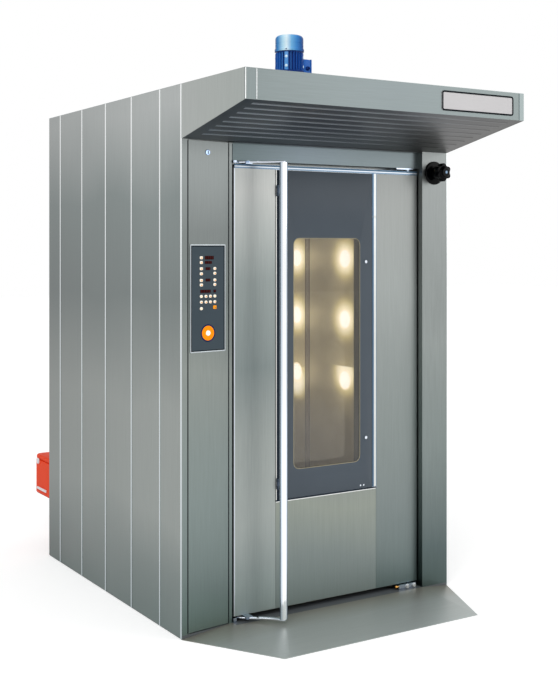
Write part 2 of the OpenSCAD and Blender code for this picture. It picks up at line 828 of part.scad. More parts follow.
// Red cover over the burner's fan and motor
module burner_cover() {
    corner = 45;
    y0 = y_rear + 20;
    y1 = y0 + burner_l;
    color("tomato") translate([drum_c[0], 0, burner_z - burner_h / 2])
        linear_extrude(burner_h) {
            for (i = [-1, 1]) translate([i * (burner_w / 2 - corner), y1 - corner])
                circle(r = corner);
            translate([-burner_w / 2, y0]) square([burner_w, burner_l - corner]);
            translate([-burner_w / 2 + corner, y0]) square([burner_w - 2 * corner, burner_l]);
        }
    color("gray") block([drum_c[0] - 75, drum_c[0] + 75], [y_rear + 12, y0],
        [burner_z - 75, burner_z + 75]);
}

// Sight cap and catch on the burner's left side
module burner_fittings() {
    x = drum_c[0] - burner_w / 2;
    y_far = y_rear + 20 + burner_l;
    color("whitesmoke") {
        block([x - 5, x], [y_far - 87, y_far - 57], [burner_z + 59, burner_z + 89]);
        block([x - 6, x], [y_far - 199, y_far - 59], [burner_z - 80, burner_z - 66]);
    }
}

// Motor of the circulation fan on the rear wall
module fan_motor() {
    body = [y_rear + 10, y_rear + 170];
    color("slategray") difference() {
        union() {
            block([-100, 100], [y_rear, body[0]], [fan_z - 100, fan_z + 100]);
            rod_y([0, fan_z], 72, body);
            for (i = [0 : 17]) translate([0, 0, fan_z]) rotate([0, i * 20, 0])
                block([-2, 2], [body[0], body[1] - 5], [60, 80]);
            rod_y([0, fan_z], 80, [body[1], body[1] + 55]);
        }
        rod_y([0, fan_z], 12.5 + run_gap, [y_rear - 1, y_rear + 60]);
    }
}

// ---------- drive on the roof ----------

// Finned motor body with its terminal box
module motor_body() {
    core_r = motor_d / 2 - 12;
    fins = 24;
    color("royalblue") {
        difference() {
            union() {
                rod_z(drive_c, core_r, [motor_z, motor_z + motor_body_h]);
                for (i = [0 : fins - 1]) translate(drive_c) rotate([0, 0, i * 360 / fins])
                    block([core_r - 2, motor_d / 2 - 3], [-1.5, 1.5],
                        [motor_z + 6, motor_z + motor_body_h - 4]);
            }
            block([core_r - 4, big], [drive_c[1] - 38, drive_c[1] + 38], [motor_z, cabinet_h + big]);
        }
        block([core_r - 4, motor_d / 2 + 37], [drive_c[1] - 38, drive_c[1] + 38],
            [motor_z, motor_z + 64]);
    }
}

// Domed fan cowl
module motor_cowl() {
    r = motor_d / 2;
    round_r = 18;
    color("dodgerblue") translate([drive_c[0], drive_c[1], motor_z + motor_body_h])
        rotate_extrude() {
            square([r, 14]);
            square([r - 3, cowl_h - round_r]);
            square([r - 3 - round_r, cowl_h]);
            translate([r - 3 - round_r, cowl_h - round_r]) intersection() {
                circle(r = round_r);
                square([round_r, round_r]);
            }
        }
}

// Gearbox on its four-legged bracket
module drive_gearbox() {
    color("steelblue") difference() {
        union() {
            block([-90, 90], [drive_c[1] - 90, drive_c[1] + 90], [bracket_z, gearbox_z]);
            block([-60, 60], [drive_c[1] - 60, drive_c[1] + 60],
                [gearbox_z, gearbox_z + gearbox_h]);
            rod_z(drive_c, motor_d / 2, [gearbox_z + gearbox_h, motor_z]);
            for (i = [-1, 1], j = [-1, 1])
                rod_z([i * 80, drive_c[1] + j * 80], 8, [cabinet_h, bracket_z]);
        }
        rod_z(drive_c, 12 + run_gap, [bracket_z - 1, gearbox_z + 30]);
    }
}

module spindle_bearing() {
    color("dimgray") difference() {
        union() {
            block([-75, 75], [-75, 75], [cabinet_h, cabinet_h + 12]);
            rod_z([0, 0], spindle_d / 2 + 22, [cabinet_h, belt_z[0] - 4]);
        }
        rod_z([0, 0], spindle_d / 2 + run_gap, [cabinet_h - 1, cabinet_h + 50]);
    }
}

// Outline of a belt around two pulleys; the big one is at the origin
module belt_outline(big_r, small_r) {
    inset = 0.05;    // keeps the straight runs from only grazing the circles
    lean = asin((big_r - small_r) / drive_offset);
    wide = big_r - inset;
    narrow = small_r - inset;
    circle(r = big_r);
    translate([0, -drive_offset]) circle(r = small_r);
    polygon([
        [wide * cos(lean), -wide * sin(lean)],
        [narrow * cos(lean), -drive_offset - narrow * sin(lean)],
        [-narrow * cos(lean), -drive_offset - narrow * sin(lean)],
        [-wide * cos(lean), -wide * sin(lean)]]);
}

module drive_belt() {
    color("black") translate([0, 0, belt_z[0]]) difference() {
        linear_extrude(belt_z[1] - belt_z[0])
            belt_outline(big_pulley_d / 2 + near_gap + belt_t,
                small_pulley_d / 2 + near_gap + belt_t);
        translate([0, 0, -1]) linear_extrude(belt_z[1] - belt_z[0] + 2)
            belt_outline(big_pulley_d / 2 + near_gap, small_pulley_d / 2 + near_gap);
    }
}

// A flanged belt pulley around c
module pulley(c, r, bore) {
    rim = [belt_z[0] - 3, belt_z[1] + 3];
    difference() {
        union() {
            rod_z(c, r, rim);
            rod_z(c, r + 3, [rim[0], rim[0] + 2.5]);
            rod_z(c, r + 3, [rim[1] - 2.5, rim[1]]);
        }
        rod_z(c, bore, [rim[0] - 1, rim[1] + 1]);
    }
}

// ---------- steam outlet ----------

module steam_pipe() {
    z0 = steam_port_z - 35;
    inner = steam_r - steam_wall;
    color("gainsboro") difference() {
        union() {
            rod_z(steam_c, steam_r, [z0, cabinet_h + 15]);
            rod_z(steam_c, steam_r - 1, [cabinet_h + 15, steam_top]);
            rod_x([steam_c[1], steam_port_z], 30, [x_chamber, steam_c[0]]);
        }
        rod_z(steam_c, inner, [z0 + 3, steam_top + 1]);
        rod_x([steam_c[1], steam_port_z], 27, [x_chamber - 1, steam_c[0]]);
        rod_y(knob_c, knob_rod_r + run_gap, [steam_c[1] - big / 4, steam_c[1] + big / 4]);
    }
}

module knob_rosette() {
    color("black") difference() {
        rod_y(knob_c, 55, [y_front - 10, y_front]);
        rod_y(knob_c, knob_rod_r + run_gap, [y_front - 11, y_front + 1]);
    }
}

// ---------- door ----------

// Folded sheets of the door box, with the blocks that hold its hinge pins
module door_shell() {
    box_x = [door_box_left, door_box_right];
    box_z = [door_z0 + 2, z_door - 2];
    side_y = [y_box, y_back - skin - sheet_gap];
    reveal_y = [y_box + skin + sheet_gap, side_y[1]];
    color("silver") {
        around(box_x, [y_back - skin, y_back], box_z, hole_x, hole_z);
        around([middle_x0, middle_x1], [y_box, y_box + skin],
            [glass_z0 - 6, z_door - top_rail_h], hole_x, hole_z);
        for (x = [box_x[0], box_x[1] - skin])
            block([x, x + skin], side_y, box_z);
        for (z = [box_z[0], box_z[1] - skin])
            block([box_x[0] + skin + sheet_gap, box_x[1] - skin - sheet_gap], side_y,
                [z, z + skin]);
        for (x = [hole_x[0] - skin, hole_x[1]])
            block([x, x + skin], reveal_y, [hole_z[0] - skin, hole_z[1] + skin]);
        for (z = [hole_z[0] - skin, hole_z[1]])
            block([hole_x[0] + sheet_gap, hole_x[1] - sheet_gap], reveal_y, [z, z + skin]);
        for (z = [[door_z0 + 2, door_z0 + 34], [z_door - 36, z_door - 2]]) difference() {
            block([box_x[1] + sheet_gap, door_pivot[0] + 18], [y_box, door_pivot[1] + 13], z);
            rod_z(door_pivot, hinge_r + run_gap, [z[0] - 1, z[1] + 1]);
        }
    }
}

// Mineral wool inside the door box
module door_insulation() {
    color("khaki") around([door_box_left + skin, door_box_right - skin],
        [y_box + skin, y_back - skin], [door_z0 + 4, z_door - 4],
        [hole_x[0] - skin, hole_x[1] + skin], [hole_z[0] - skin, hole_z[1] + skin]);
}

// Brushed front sheets: left, right and lower middle
module door_panels() {
    front = [y_door, y_box];
    z = [door_z0, z_door - top_rail_h];
    color("darkgray") {
        block([-x_door, middle_x0 - 11], front, z);
        block([-x_door, -x_door + 1.5], [y_box + sheet_gap, y_box + 40], z);
        block([middle_x1 + 15, x_door], front, z);
        block([x_door - 1.5, x_door], [y_box + sheet_gap, y_box + 14], z);
        block([middle_x0 - 10, middle_x1 + 14], front, [z[0], glass_z0 - 8]);
    }
}

// Bright rails and profiles around the glass, the handle's pivots and the glass's hinges
module door_trim() {
    joint_z = z_door - 218;
    front = [y_box - profile_out, y_box];
    color("white") {
        block([-x_door, x_door], [y_door - 2, y_box], [z_door - top_rail_h, z_door]);
        block([middle_x0 - 10, middle_x1 + 14], [y_door - 4, y_box], [glass_z0 - 8, glass_z0 - 1]);
        for (z = [[glass_z0 - 1, joint_z - 1], [joint_z + 1, z_door - top_rail_h]])
            block([middle_x1 - 12 + lap_gap, middle_x1 - 12 + profile_w], front, z);
        block([middle_x0 - 10, leaf_x[0] - lap_gap], [y_door - 2, y_box],
            [glass_z0 - 1, z_door - top_rail_h]);
        for (z = leaf_hinge_z) {
            for (k = [[z - 14, z], [z + 20, z + 34]]) {
                rod_z(leaf_axis, 5, k);
                block([leaf_axis[0] - 6, leaf_axis[0]], [leaf_axis[1], y_door - 2], k);
            }
            rod_z(leaf_axis, 2, [z, z + 20]);
        }
        difference() {
            union() for (z = [[door_z0 - 4, door_z0], [z_door, z_door + 3.5]])
                block([handle_pivot[0] - 16, handle_pivot[0] + 16],
                    [handle_pivot[1] - 14, y_door + 30], z);
        }
        rod_z(handle_pivot, handle_pin_r, [lever_z0 - near_gap, door_z0 - 4]);
        rod_z(handle_pivot, handle_pin_r + 3, [lever_z0 - 3, lever_z0 - near_gap]);
        rod_z(handle_pivot, handle_pin_r, [z_door + 3.5, lever_z1 + lever_t + near_gap]);
        rod_z(handle_pivot, handle_pin_r + 3,
            [lever_z1 + lever_t + near_gap, lever_z1 + lever_t + 2]);
    }
}

module inner_glass() {
    color("lightyellow") block(hole_x, [y_back - 12, y_back - 6], hole_z);
}

// Silicone seal on the door's back, with the flap at the bottom
module door_seal() {
    seal_w = 20;
    y = [y_back, y_seal - near_gap];
    x = [door_box_left + 4, door_box_right - 1];
    z = [floor_z + 42, z_head + 25];
    color("black") {
        block([x[0], x[0] + seal_w], y, z);
        block([x[1] - seal_w, x[1]], y, z);
        block([x[0], x[1]], y, [z[1], z[1] + 6]);
        block([x[0] + seal_w, x[1] - seal_w], y, [z[1] - 15, z[1]]);
        flap_end = door_pivot[0] - norm([door_pivot[0] - bracket_x[0],
            door_pivot[1] - bracket_y[0]]);
        block(x, [y_back, y_seal - 2], [bracket_low_z[1] + 1, z[0]]);
        block([x[0], flap_end], [y_back, y_seal - 2], [floor_z + 3, z[0]]);
    }
}

// ---------- handle ----------

module handle_bar() {
    flat = bar_w - bar_t;
    color("white") translate([bar_x, bar_y, lever_z0 + lever_t])
        linear_extrude(lever_z1 - lever_z0 - lever_t) {
            square([flat, bar_t], center = true);
            for (i = [-1, 1]) translate([i * flat / 2, 0]) circle(d = bar_t);
        }
}

// Flat levers at both ends of the bar, each with its latch tongue
module latch_levers() {
    color("silver") for (z = [lever_z0, lever_z1]) translate([0, 0, z]) difference() {
        linear_extrude(lever_t) {
            strap(tongue_tip, handle_pivot, 16);
            strap(handle_pivot, lever_elbow, 20);
            strap(lever_elbow, [bar_x, bar_y], 20);
            translate(handle_pivot) circle(r = 14);
        }
        rod_z(handle_pivot, handle_pin_r + run_gap, [-1, lever_t + 1]);
    }
}

// ---------- outer glass ----------

leaf_hinge_z = [glass_z0 + 60, z_door - 120];

module outer_glass() {
    color("slategray") block(leaf_x, leaf_y, [glass_z0, z_door - top_rail_h - 2]);
}

// Knobs and studs that hold the glass, and its half of the hinges
module glass_fittings() {
    knob_x = middle_x1 - 52;
    color("silver") {
        for (z = [window_z0 + 108, window_z1 - 107])
            rod_y([knob_x, z], 7, [leaf_y[0] - 9, leaf_y[0]]);
        for (x = [knob_x - 28, knob_x - 10])
            rod_y([x, glass_z0 + 14], 4, [leaf_y[0] - 4, leaf_y[0]]);
        for (z = leaf_hinge_z) difference() {
            union() {
                rod_z(leaf_axis, 5, [z + near_gap, z + 20 - near_gap]);
                block([leaf_axis[0], leaf_x[0] + 30], [leaf_y[0] - 3, leaf_y[0]],
                    [z + near_gap, z + 20 - near_gap]);
            }
            rod_z(leaf_axis, 2 + run_gap, [z - 1, z + 21]);
        }
    }
}

// ---------- control cover ----------

keypad_u = cover_mid - 4.5;
keypad_z1 = cabinet_h - keypad_drop;
keypad_z0 = keypad_z1 - keypad_h;
button_z = keypad_z0 + 79;
lock_u = keypad_u;

// Hinged cover of the control column: a front sheet with four returns
module cover_panel() {
    u = [cover_u0, cover_u1];
    z = [cover_z0, cover_z1];
    color("darkgray") on_column() {
        difference() {
            block(u, [0, skin], z);
            rod_y([keypad_u, button_z], button_r + run_gap, [-1, skin + 1]);
            rod_y([lock_u, cam_z], lock_r, [-1, skin + 1]);
        }
        for (side = [u[0], u[1] - 1.5])
            block([side, side + 1.5], [skin + sheet_gap, cover_deep], z);
        for (edge = [z[0], z[1] - skin]) difference() {
            block([u[0] + 1.5 + sheet_gap, u[1] - 1.5 - sheet_gap],
                [skin + sheet_gap, cover_deep], [edge, edge + skin]);
            rod_z(cover_pin, cover_pin_r + run_gap, [edge - 1, edge + skin + 1]);
        }
    }
}

// Keypad plate with its rim, and the housing behind the cover
module keypad() {
    rim = 4;
    color("slategray") on_column() difference() {
        union() {
            block([keypad_u - keypad_w / 2, keypad_u + keypad_w / 2], [-2, -face_gap],
                [keypad_z0, keypad_z1]);
            for (s = [-1, 1]) {
                edge = keypad_u + s * (keypad_w / 2 - rim / 2);
                block([edge - rim / 2, edge + rim / 2], [-3, -2], [keypad_z0, keypad_z1]);
            }
            for (z = [keypad_z0, keypad_z1 - rim])
                block([keypad_u - keypad_w / 2, keypad_u + keypad_w / 2], [-3, -2], [z, z + rim]);
            block([keypad_u - 70, keypad_u + 70], [skin + face_gap, 34],
                [keypad_z0 + 15, keypad_z1 - 15]);
        }
        rod_y([keypad_u, button_z], button_r + run_gap, [-4, 14]);
        rod_y([keypad_u, button_z], 5 + run_gap, [13, 35]);
    }
}

// One raised key or display on the keypad; place counts from its top left corner
module key(place, size) {
    u = keypad_u - keypad_w / 2 + place[0];
    z = keypad_z1 - place[1];
    block([u - size[0] / 2, u + size[0] / 2], [-3, -2 - face_gap],
        [z - size[1] / 2, z + size[1] / 2]);
}

// Raised keys, displays and the ring around the start button
module keypad_keys() {
    left_rows = [55, 75, 101, 122, 150, 169];
    right_rows = [101, 121, 149, 168];
    displays = [[98, 55, 46, 14], [93, 75, 37, 11], [91, 101, 25, 11], [91, 149, 25, 11],
        [78, 196, 54, 12], [126, 196, 13, 11]];
    columns = [56, 80, 103, 126];
    color("orange") on_column() {
        for (t = left_rows) key([56, t], [18, 14]);
        for (t = right_rows) key([126, t], [15, 14]);
        for (d = displays) key([d[0], d[1]], [d[2], d[3]]);
        for (c = columns, t = [217, 241]) key([c, t], [17, 17]);
        for (c = [columns[0], columns[3]]) key([c, 268], [17, 17]);
        difference() {
            rod_y([keypad_u, button_z], 33, [-3.5, -2 - face_gap]);
            rod_y([keypad_u, button_z], button_r + 0.5, [-4, -1]);
        }
    }
}

// Quarter-turn lock with its cam; at rest the cam lies level, unlocked
module cover_lock() {
    color("silver") on_column() {
        rod_y([lock_u, cam_z], 12, [-3, 0]);
        rod_y([lock_u, cam_z], lock_r - run_gap, [0, 24]);
        block([lock_u - 9, lock_u + 60], [24, 27], [cam_z - 8, cam_z + 8]);
    }
}

module start_button() {
    color("white") on_column() {
        rod_y([keypad_u, button_z], button_r, [-7, 6]);
        rod_y([keypad_u, button_z], 5, [6, 28]);
    }
}

// ---------- turning parts ----------

hook_z = z_ceiling - 60;

module spindle() {
    color("silver") rod_z([0, 0], spindle_d / 2, [hook_z - 20, belt_z[1] + 15]);
}

module driven_pulley() {
    color("dimgray") pulley([0, 0], big_pulley_d / 2, spindle_d / 2 + run_gap);
}

// Crossbar with the two hooks that lift and turn the trolley
module rack_hook() {
    bar = [hook_z - 32, hook_z - 20];
    color("darkgray") {
        tube_z([0, 0], spindle_d / 2 + 20, spindle_d / 2 + run_gap, [hook_z - 20, hook_z + 25]);
        block([-hook_span / 2, hook_span / 2], [-25, 25], bar);
        for (s = [-1, 1]) {
            x = [s * hook_span / 2, s * (hook_span / 2 - 8)];
            lip = [s * hook_span / 2, s * (hook_span / 2 - 45)];
            block([min(x), max(x)], [-25, 25], [bar[0] - 50, bar[0] - sheet_gap]);
            block([min(lip), max(lip)], [-25, 25], [bar[0] - 58, bar[0] - 50 - sheet_gap]);
        }
    }
}

module drive_pulley() {
    color("dimgray") {
        pulley(drive_c, small_pulley_d / 2, 12);
        rod_z(drive_c, 12, [belt_z[0] - 3, gearbox_z + 28]);
    }
}

// Centrifugal wheel: shaft, hub, back plate, blades and front ring
module fan_wheel() {
    back = y_baffle + 150;
    front = y_baffle + 65;
    color("silver") {
        rod_y([0, fan_z], 12.5, [front + 30, y_rear + 55]);
        rod_y([0, fan_z], 40, [back - 30, back + 10]);
        rod_y([0, fan_z], fan_r, [back, back + 4]);
        difference() {
            rod_y([0, fan_z], fan_r, [front, front + 3]);
            rod_y([0, fan_z], fan_r * 0.7, [front - 1, front + 4]);
        }
        for (i = [0 : fan_blades - 1]) translate([0, 0, fan_z])
            rotate([0, i * 360 / fan_blades, 0])
                block([-1.5, 1.5], [front, back + 1], [fan_r * 0.55, fan_r - 3]);
    }
}

// Knob, rod and flap of the steam damper in one turning piece; at rest it is shut
module damper_control() {
    head_y = [y_front - knob_out + 15, y_front - 40];
    lobes = 6;
    color("black") {
        rod_y(knob_c, knob_rod_r, [y_front - 41, steam_c[1] + steam_r + 6]);
        rod_y(knob_c, 26, [y_front - 41, y_front - 10 - near_gap]);
        rod_y(knob_c, 35, head_y);
        for (i = [0 : lobes - 1]) translate([knob_c[0], 0, knob_c[1]])
            rotate([0, i * 360 / lobes, 0]) rod_y([0, 31], 12, head_y);
        rod_y(knob_c, 22, [y_front - knob_out, head_y[0]]);
        rod_z(steam_c, steam_r - steam_wall - 0.5, [knob_c[1] - 1, knob_c[1] + 1]);
    }
}

base_slab();
frame_posts();
left_cladding();
right_cladding();
rear_cladding();
roof_cladding();
joint_strips();
insulation();
chamber_lining();
chamber_baffle();
door_surround();
lintel();
right_pillar();
column_frame();
control_gear();
hood_shell();
hood_fascia();
hood_underside();
hood_plate();
hinge_brackets();
hex_bolts();
entry_ramp();
latch_keepers();
lamp_housings();
lamp_glasses();
steam_generator();
heat_exchanger();
flue_pipe();
burner_tube();
burner_cover();
burner_fittings();
fan_motor();
motor_body();
motor_cowl();
drive_gearbox();
spindle_bearing();
drive_belt();
steam_pipe();
knob_rosette();
door_shell();
door_insulation();
door_panels();
door_trim();
inner_glass();
door_seal();
handle_bar();
latch_levers();
outer_glass();
glass_fittings();
cover_panel();
keypad();
keypad_keys();
cover_lock();
start_button();
spindle();
driven_pulley();
rack_hook();
drive_pulley();
fan_wheel();
damper_control();
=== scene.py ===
"""Looks of a rotating rack oven, built as a Blender add-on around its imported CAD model."""

import json
import math

import bmesh
import bpy
from mathutils import Matrix, Vector


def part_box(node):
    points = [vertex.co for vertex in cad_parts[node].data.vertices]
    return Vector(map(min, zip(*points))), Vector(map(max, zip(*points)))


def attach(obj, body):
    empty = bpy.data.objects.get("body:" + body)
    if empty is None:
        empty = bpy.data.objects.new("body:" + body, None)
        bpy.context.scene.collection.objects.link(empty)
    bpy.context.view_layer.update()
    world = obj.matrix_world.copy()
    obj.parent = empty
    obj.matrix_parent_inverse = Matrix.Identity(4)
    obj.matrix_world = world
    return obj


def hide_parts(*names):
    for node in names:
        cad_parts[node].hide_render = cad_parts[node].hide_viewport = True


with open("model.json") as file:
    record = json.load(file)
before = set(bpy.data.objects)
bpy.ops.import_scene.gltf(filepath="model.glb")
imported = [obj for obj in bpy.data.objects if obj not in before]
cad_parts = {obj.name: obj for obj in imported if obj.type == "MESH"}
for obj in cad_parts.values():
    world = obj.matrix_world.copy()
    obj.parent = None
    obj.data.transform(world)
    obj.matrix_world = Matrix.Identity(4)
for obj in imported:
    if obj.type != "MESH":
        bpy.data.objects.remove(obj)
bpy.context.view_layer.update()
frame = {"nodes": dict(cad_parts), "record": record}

bl_info = {
    "name": "Rotating Rack Oven",
    "version": (1, 0, 0),
    "blender": (4, 5, 0),
    "location": "View3D > Sidebar > Oven",
    "description": "Surfaces and fittings of a bakery oven for one turning rack",
    "category": "Add Mesh",
}

MM = 0.001
ROOT = "oven_body"


# ---------------------------------------------------------------- sizes from the frame


def box_mm(node):
    """Lowest and highest corner of a CAD node, in millimetres."""
    return [[value / MM for value in corner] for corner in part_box(node)]


def middle(node):
    """Middle of a CAD node, in millimetres."""
    return [(a + b) / 2 for a, b in zip(*box_mm(node))]


def joint(name):
    """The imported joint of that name."""
    return next(j for j in frame["record"]["behaviour"]["joints"] if j["name"] == name)


X_LEFT, Y_FRONT = box_mm("left_cladding")[0][:2]
X_RIGHT = box_mm("right_cladding")[1][0]
Y_REAR = box_mm("rear_cladding")[1][1]
Y_HOOD = box_mm("hood_shell")[0][1]
COLUMN_TURN = math.asin(abs(joint("lock_turn")["axis"][0]))
KEYPAD_U = 132.66  # middle of the keypad, button and lock along the column
LAMP_R = 45  # radius of a chamber lamp's glass
LEVEL = 0.05 * MM  # an edge that rises less than this lies level
SMOOTH_BELOW = math.radians(35)  # corners softer than this are shaded smooth


# ---------------------------------------------------------------- shaping


def clear():
    """Deselects everything, because an operator acts on all that is selected."""
    if bpy.context.mode != "OBJECT":
        bpy.ops.object.mode_set(mode="OBJECT")
    bpy.ops.object.select_all(action="DESELECT")


def settle(part):
    """Puts a part's place, turn and size into its mesh."""
    clear()
    part.select_set(True)
    bpy.context.view_layer.objects.active = part
    bpy.ops.object.transform_apply(location=True, rotation=True, scale=True)
    return part


def edit_all():
    """Opens the active part for editing, all of it selected."""
    bpy.ops.object.mode_set(mode="EDIT")
    bpy.ops.mesh.select_all(action="SELECT")


def choose(part, kind, test):
    """In edit mode, selects the faces or edges of part that pass test."""
    bpy.ops.mesh.select_mode(type=kind)
    mesh = bmesh.from_edit_mesh(part.data)
    for item in [*mesh.verts, *mesh.edges, *mesh.faces]:
        item.select = False
    for item in mesh.faces if kind == "FACE" else mesh.edges:
        if test(item):
            item.select_set(True)
    mesh.select_flush_mode()
    bmesh.update_edit_mesh(part.data)


def block(low, high, edge=0.0, rows=2):
    """A box between two corners in millimetres, its edges rounded by edge."""
    clear()
    bpy.ops.mesh.primitive_cube_add(
        size=1,
        location=[(a + b) / 2 * MM for a, b in zip(low, high)],
        scale=[(b - a) * MM for a, b in zip(low, high)],
    )
    part = settle(bpy.context.object)
    if edge:
        edit_all()
        bpy.ops.mesh.bevel(offset=edge * MM, segments=rows, affect="EDGES")
        bpy.ops.object.mode_set(mode="OBJECT")
    return part


HALF, QUARTER = math.pi, math.pi / 2
AXIS_TURN = {
    "Z": (0, 0, 0), "-Z": (HALF, 0, 0), "X": (0, QUARTER, 0), "-X": (0, -QUARTER, 0),
    "Y": (-QUARTER, 0, 0), "-Y": (QUARTER, 0, 0),
}


def stood(parts, place, axis="Z"):
    """Turns parts made upwards from the origin to an axis and puts them at a place."""
    for part in parts:
        part.rotation_euler = AXIS_TURN[axis]
        part.location = [value * MM for value in place]
        settle(part)
    return parts


def turned(place, axis, profile, sides=40):
    """A turned part: a disc drawn out along axis from place, through (radius, height) steps."""
    clear()
    radius, height = profile[0]
    bpy.ops.mesh.primitive_circle_add(
        vertices=sides, radius=radius * MM, fill_type="NGON", location=(0, 0, height * MM)
    )
    part = settle(bpy.context.object)
    edit_all()
    for next_radius, next_height in profile[1:]:
        bpy.ops.mesh.extrude_region_move(
            TRANSFORM_OT_translate={"value": (0, 0, (next_height - height) * MM)}
        )
        ratio = next_radius / radius
        bpy.ops.transform.resize(
            value=(ratio, ratio, 1), center_override=(0, 0, next_height * MM)
        )
        radius, height = next_radius, next_height
    bpy.ops.mesh.select_all(action="SELECT")
    bpy.ops.mesh.normals_make_consistent(inside=False)
    bpy.ops.object.mode_set(mode="OBJECT")
    return stood([part], place, axis)[0]


def arc(x, y, radius, start=0.0, sweep=90.0, steps=6):
    """Points along part of a circle, between angles in degrees."""
    angles = [math.radians(start + sweep * i / steps) for i in range(steps + 1)]
    return [(x + radius * math.cos(a), y + radius * math.sin(a)) for a in angles]


def dome(radius, height, round_r, steps=5):
    """Profile steps for an outer corner that rounds over to a flat top."""
    return arc(radius - round_r, height - round_r, round_r, steps=steps)


def rounded_outline(low, high, radius, steps=6):
    """Points round a rectangle with round corners, counter-clockwise."""
    left, right, near, far = low[0] + radius, high[0] - radius, low[1] + radius, high[1] - radius
    corners = ((right, far), (left, far), (left, near), (right, near))
    return [
        point for i, corner in enumerate(corners)
        for point in arc(*corner, radius, 90 * i, 90, steps)
    ]


PLANES = {"XY": (0, 1, 2), "XZ": (0, 2, 1), "YZ": (1, 2, 0)}


def loop(points, height, plane, fill):
    """A closed line through points in millimetres in a plane, at a height above it."""
    a, b, c = PLANES[plane]
    clear()
    bpy.ops.mesh.primitive_circle_add(vertices=len(points), fill_type=fill)
    part = settle(bpy.context.object)
    for vertex, point in zip(part.data.vertices, points):
        vertex.co[a], vertex.co[b], vertex.co[c] = point[0] * MM, point[1] * MM, height * MM
    return part


def draw_out(part, rise, plane, edge, rows, test):
    """Gives the flat part in edit mode its thickness and rounds its flat edges that pass test."""
    c = PLANES[plane][2]
    move = [0.0, 0.0, 0.0]
    move[c] = rise * MM
    bpy.ops.mesh.select_all(action="SELECT")
    bpy.ops.mesh.extrude_region_move(TRANSFORM_OT_translate={"value": move})
    bpy.ops.mesh.select_all(action="SELECT")
    bpy.ops.mesh.normals_make_consistent(inside=False)

    def flat(item):
        return abs(item.verts[0].co[c] - item.verts[1].co[c]) < LEVEL and test(item)

    if edge:
        choose(part, "EDGE", flat)
        bpy.ops.mesh.bevel(offset=edge * MM, segments=rows, affect="EDGES")
    bpy.ops.object.mode_set(mode="OBJECT")
    return part


def prism(points, low, high, plane="XY", edge=0.0, rows=2):
    """An outline in millimetres in a plane, drawn out from low to high along the third axis."""
    part = loop(points, low, plane, "NGON")
    edit_all()
    return draw_out(part, high - low, plane, edge, rows, lambda item: True)


def frame_plate(outer, inner, low, high, plane="XZ", edge=0.0):
    """A flat plate between two loops of equally many points, with a thickness."""
    part = join([loop(points, low, plane, "NOTHING") for points in (outer, inner)])
    edit_all()
    bpy.ops.mesh.bridge_edge_loops()
    return draw_out(
        part, high - low, plane, edge, 2,
        lambda item: len({face.normal.to_tuple(1) for face in item.link_faces}) == 2,
    )


def ribbon(path, width):
    """Outline of a flat bar of one width along a path, with round ends."""
    left, right = [], []
    for i, point in enumerate(path):
        before, after = path[max(i - 1, 0)], path[min(i + 1, len(path) - 1)]
        run = Vector((after[0] - before[0], after[1] - before[1])).normalized()
        side = Vector((-run.y, run.x)) * width / 2
        left.append((point[0] + side.x, point[1] + side.y))
        right.append((point[0] - side.x, point[1] - side.y))
    ends = []
    for centre, away in ((path[-1], path[-2]), (path[0], path[1])):
        run = math.degrees(math.atan2(centre[1] - away[1], centre[0] - away[0]))
        ends.append(arc(*centre, width / 2, run + 60, -120, 4))
    return left + ends[0] + right[::-1] + ends[1]


def bent(points, steps=6):
    """A path through points whose inner corners are rounded with curves."""
    path = [points[0]]
    for before, corner, after in zip(points, points[1:], points[2:]):
        a = Vector(before).lerp(Vector(corner), 0.45)
        b = Vector(corner).lerp(Vector(after), 0.55)
        for i in range(steps + 1):
            t = i / steps
            spot = a * (1 - t) ** 2 + Vector(corner) * 2 * t * (1 - t) + b * t * t
            path.append((spot.x, spot.y))
    return [*path, points[-1]]


def copied(part, moves):
    """The part and a copy of it, with its own mesh, for each move."""
    made = [part]
    for move in moves:
        copy = part.copy()
        copy.data = part.data.copy()
        copy.data.transform(move)
        bpy.context.collection.objects.link(copy)
        made.append(copy)
    return made


def repeated(part, step, count):
    """The part and copies of it in a row, a step in millimetres apart."""
    return copied(part, [Matrix.Translation(Vector(step) * i * MM) for i in range(1, count)])


def spun(part, count, start=0.0):
    """The part and copies of it in equal steps round the upright axis, from start degrees."""
    part.data.transform(Matrix.Rotation(math.radians(start), 4, "Z"))
    step = 2 * math.pi / count
    return copied(part, [Matrix.Rotation(step * i, 4, "Z") for i in range(1, count)])


def join(parts):
    """Joins parts into the first of them."""
    clear()
    for part in parts:
        part.select_set(True)
    bpy.context.view_layer.objects.active = parts[0]
    if len(parts) > 1:
        bpy.ops.object.join()
    return bpy.context.object


def painted(key, *parts):
    """Gives parts one finish."""
    for part in parts:
        part.data.materials.clear()
        part.data.materials.append(M[key])
    return list(parts)


def strip(key, low, high, edge=0.2):
    """A thin strip between two corners, with its finish."""
    return painted(key, block(low, high, edge, 1))


def on_column(parts):
    """Moves parts made in the column's own frame (x along it, y into it) to their place."""
    for part in parts:
        part.rotation_euler = (0, 0, COLUMN_TURN)
        part.location = (X_LEFT * MM, Y_FRONT * MM, 0)
        settle(part)
    return parts


def piece(name, body, slot, parts, *stands_for):
    """Joins parts into one finished piece that rides on a body."""
    made = join(parts)
    made.name = made.data.name = name
    bpy.ops.object.transform_apply(location=True, rotation=True, scale=True)
    bpy.ops.object.shade_smooth_by_angle(angle=SMOOTH_BELOW)
    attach(made, body)
    if stands_for:
        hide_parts(*stands_for)


# ---------------------------------------------------------------- materials


def linear(code):
    """A linear colour from an sRGB hex value."""
    parts = [int(code[i : i + 2], 16) / 255 for i in (1, 3, 5)]
    return [p / 12.92 if p <= 0.04045 else ((p + 0.055) / 1.055) ** 2.4 for p in parts] + [1.0]


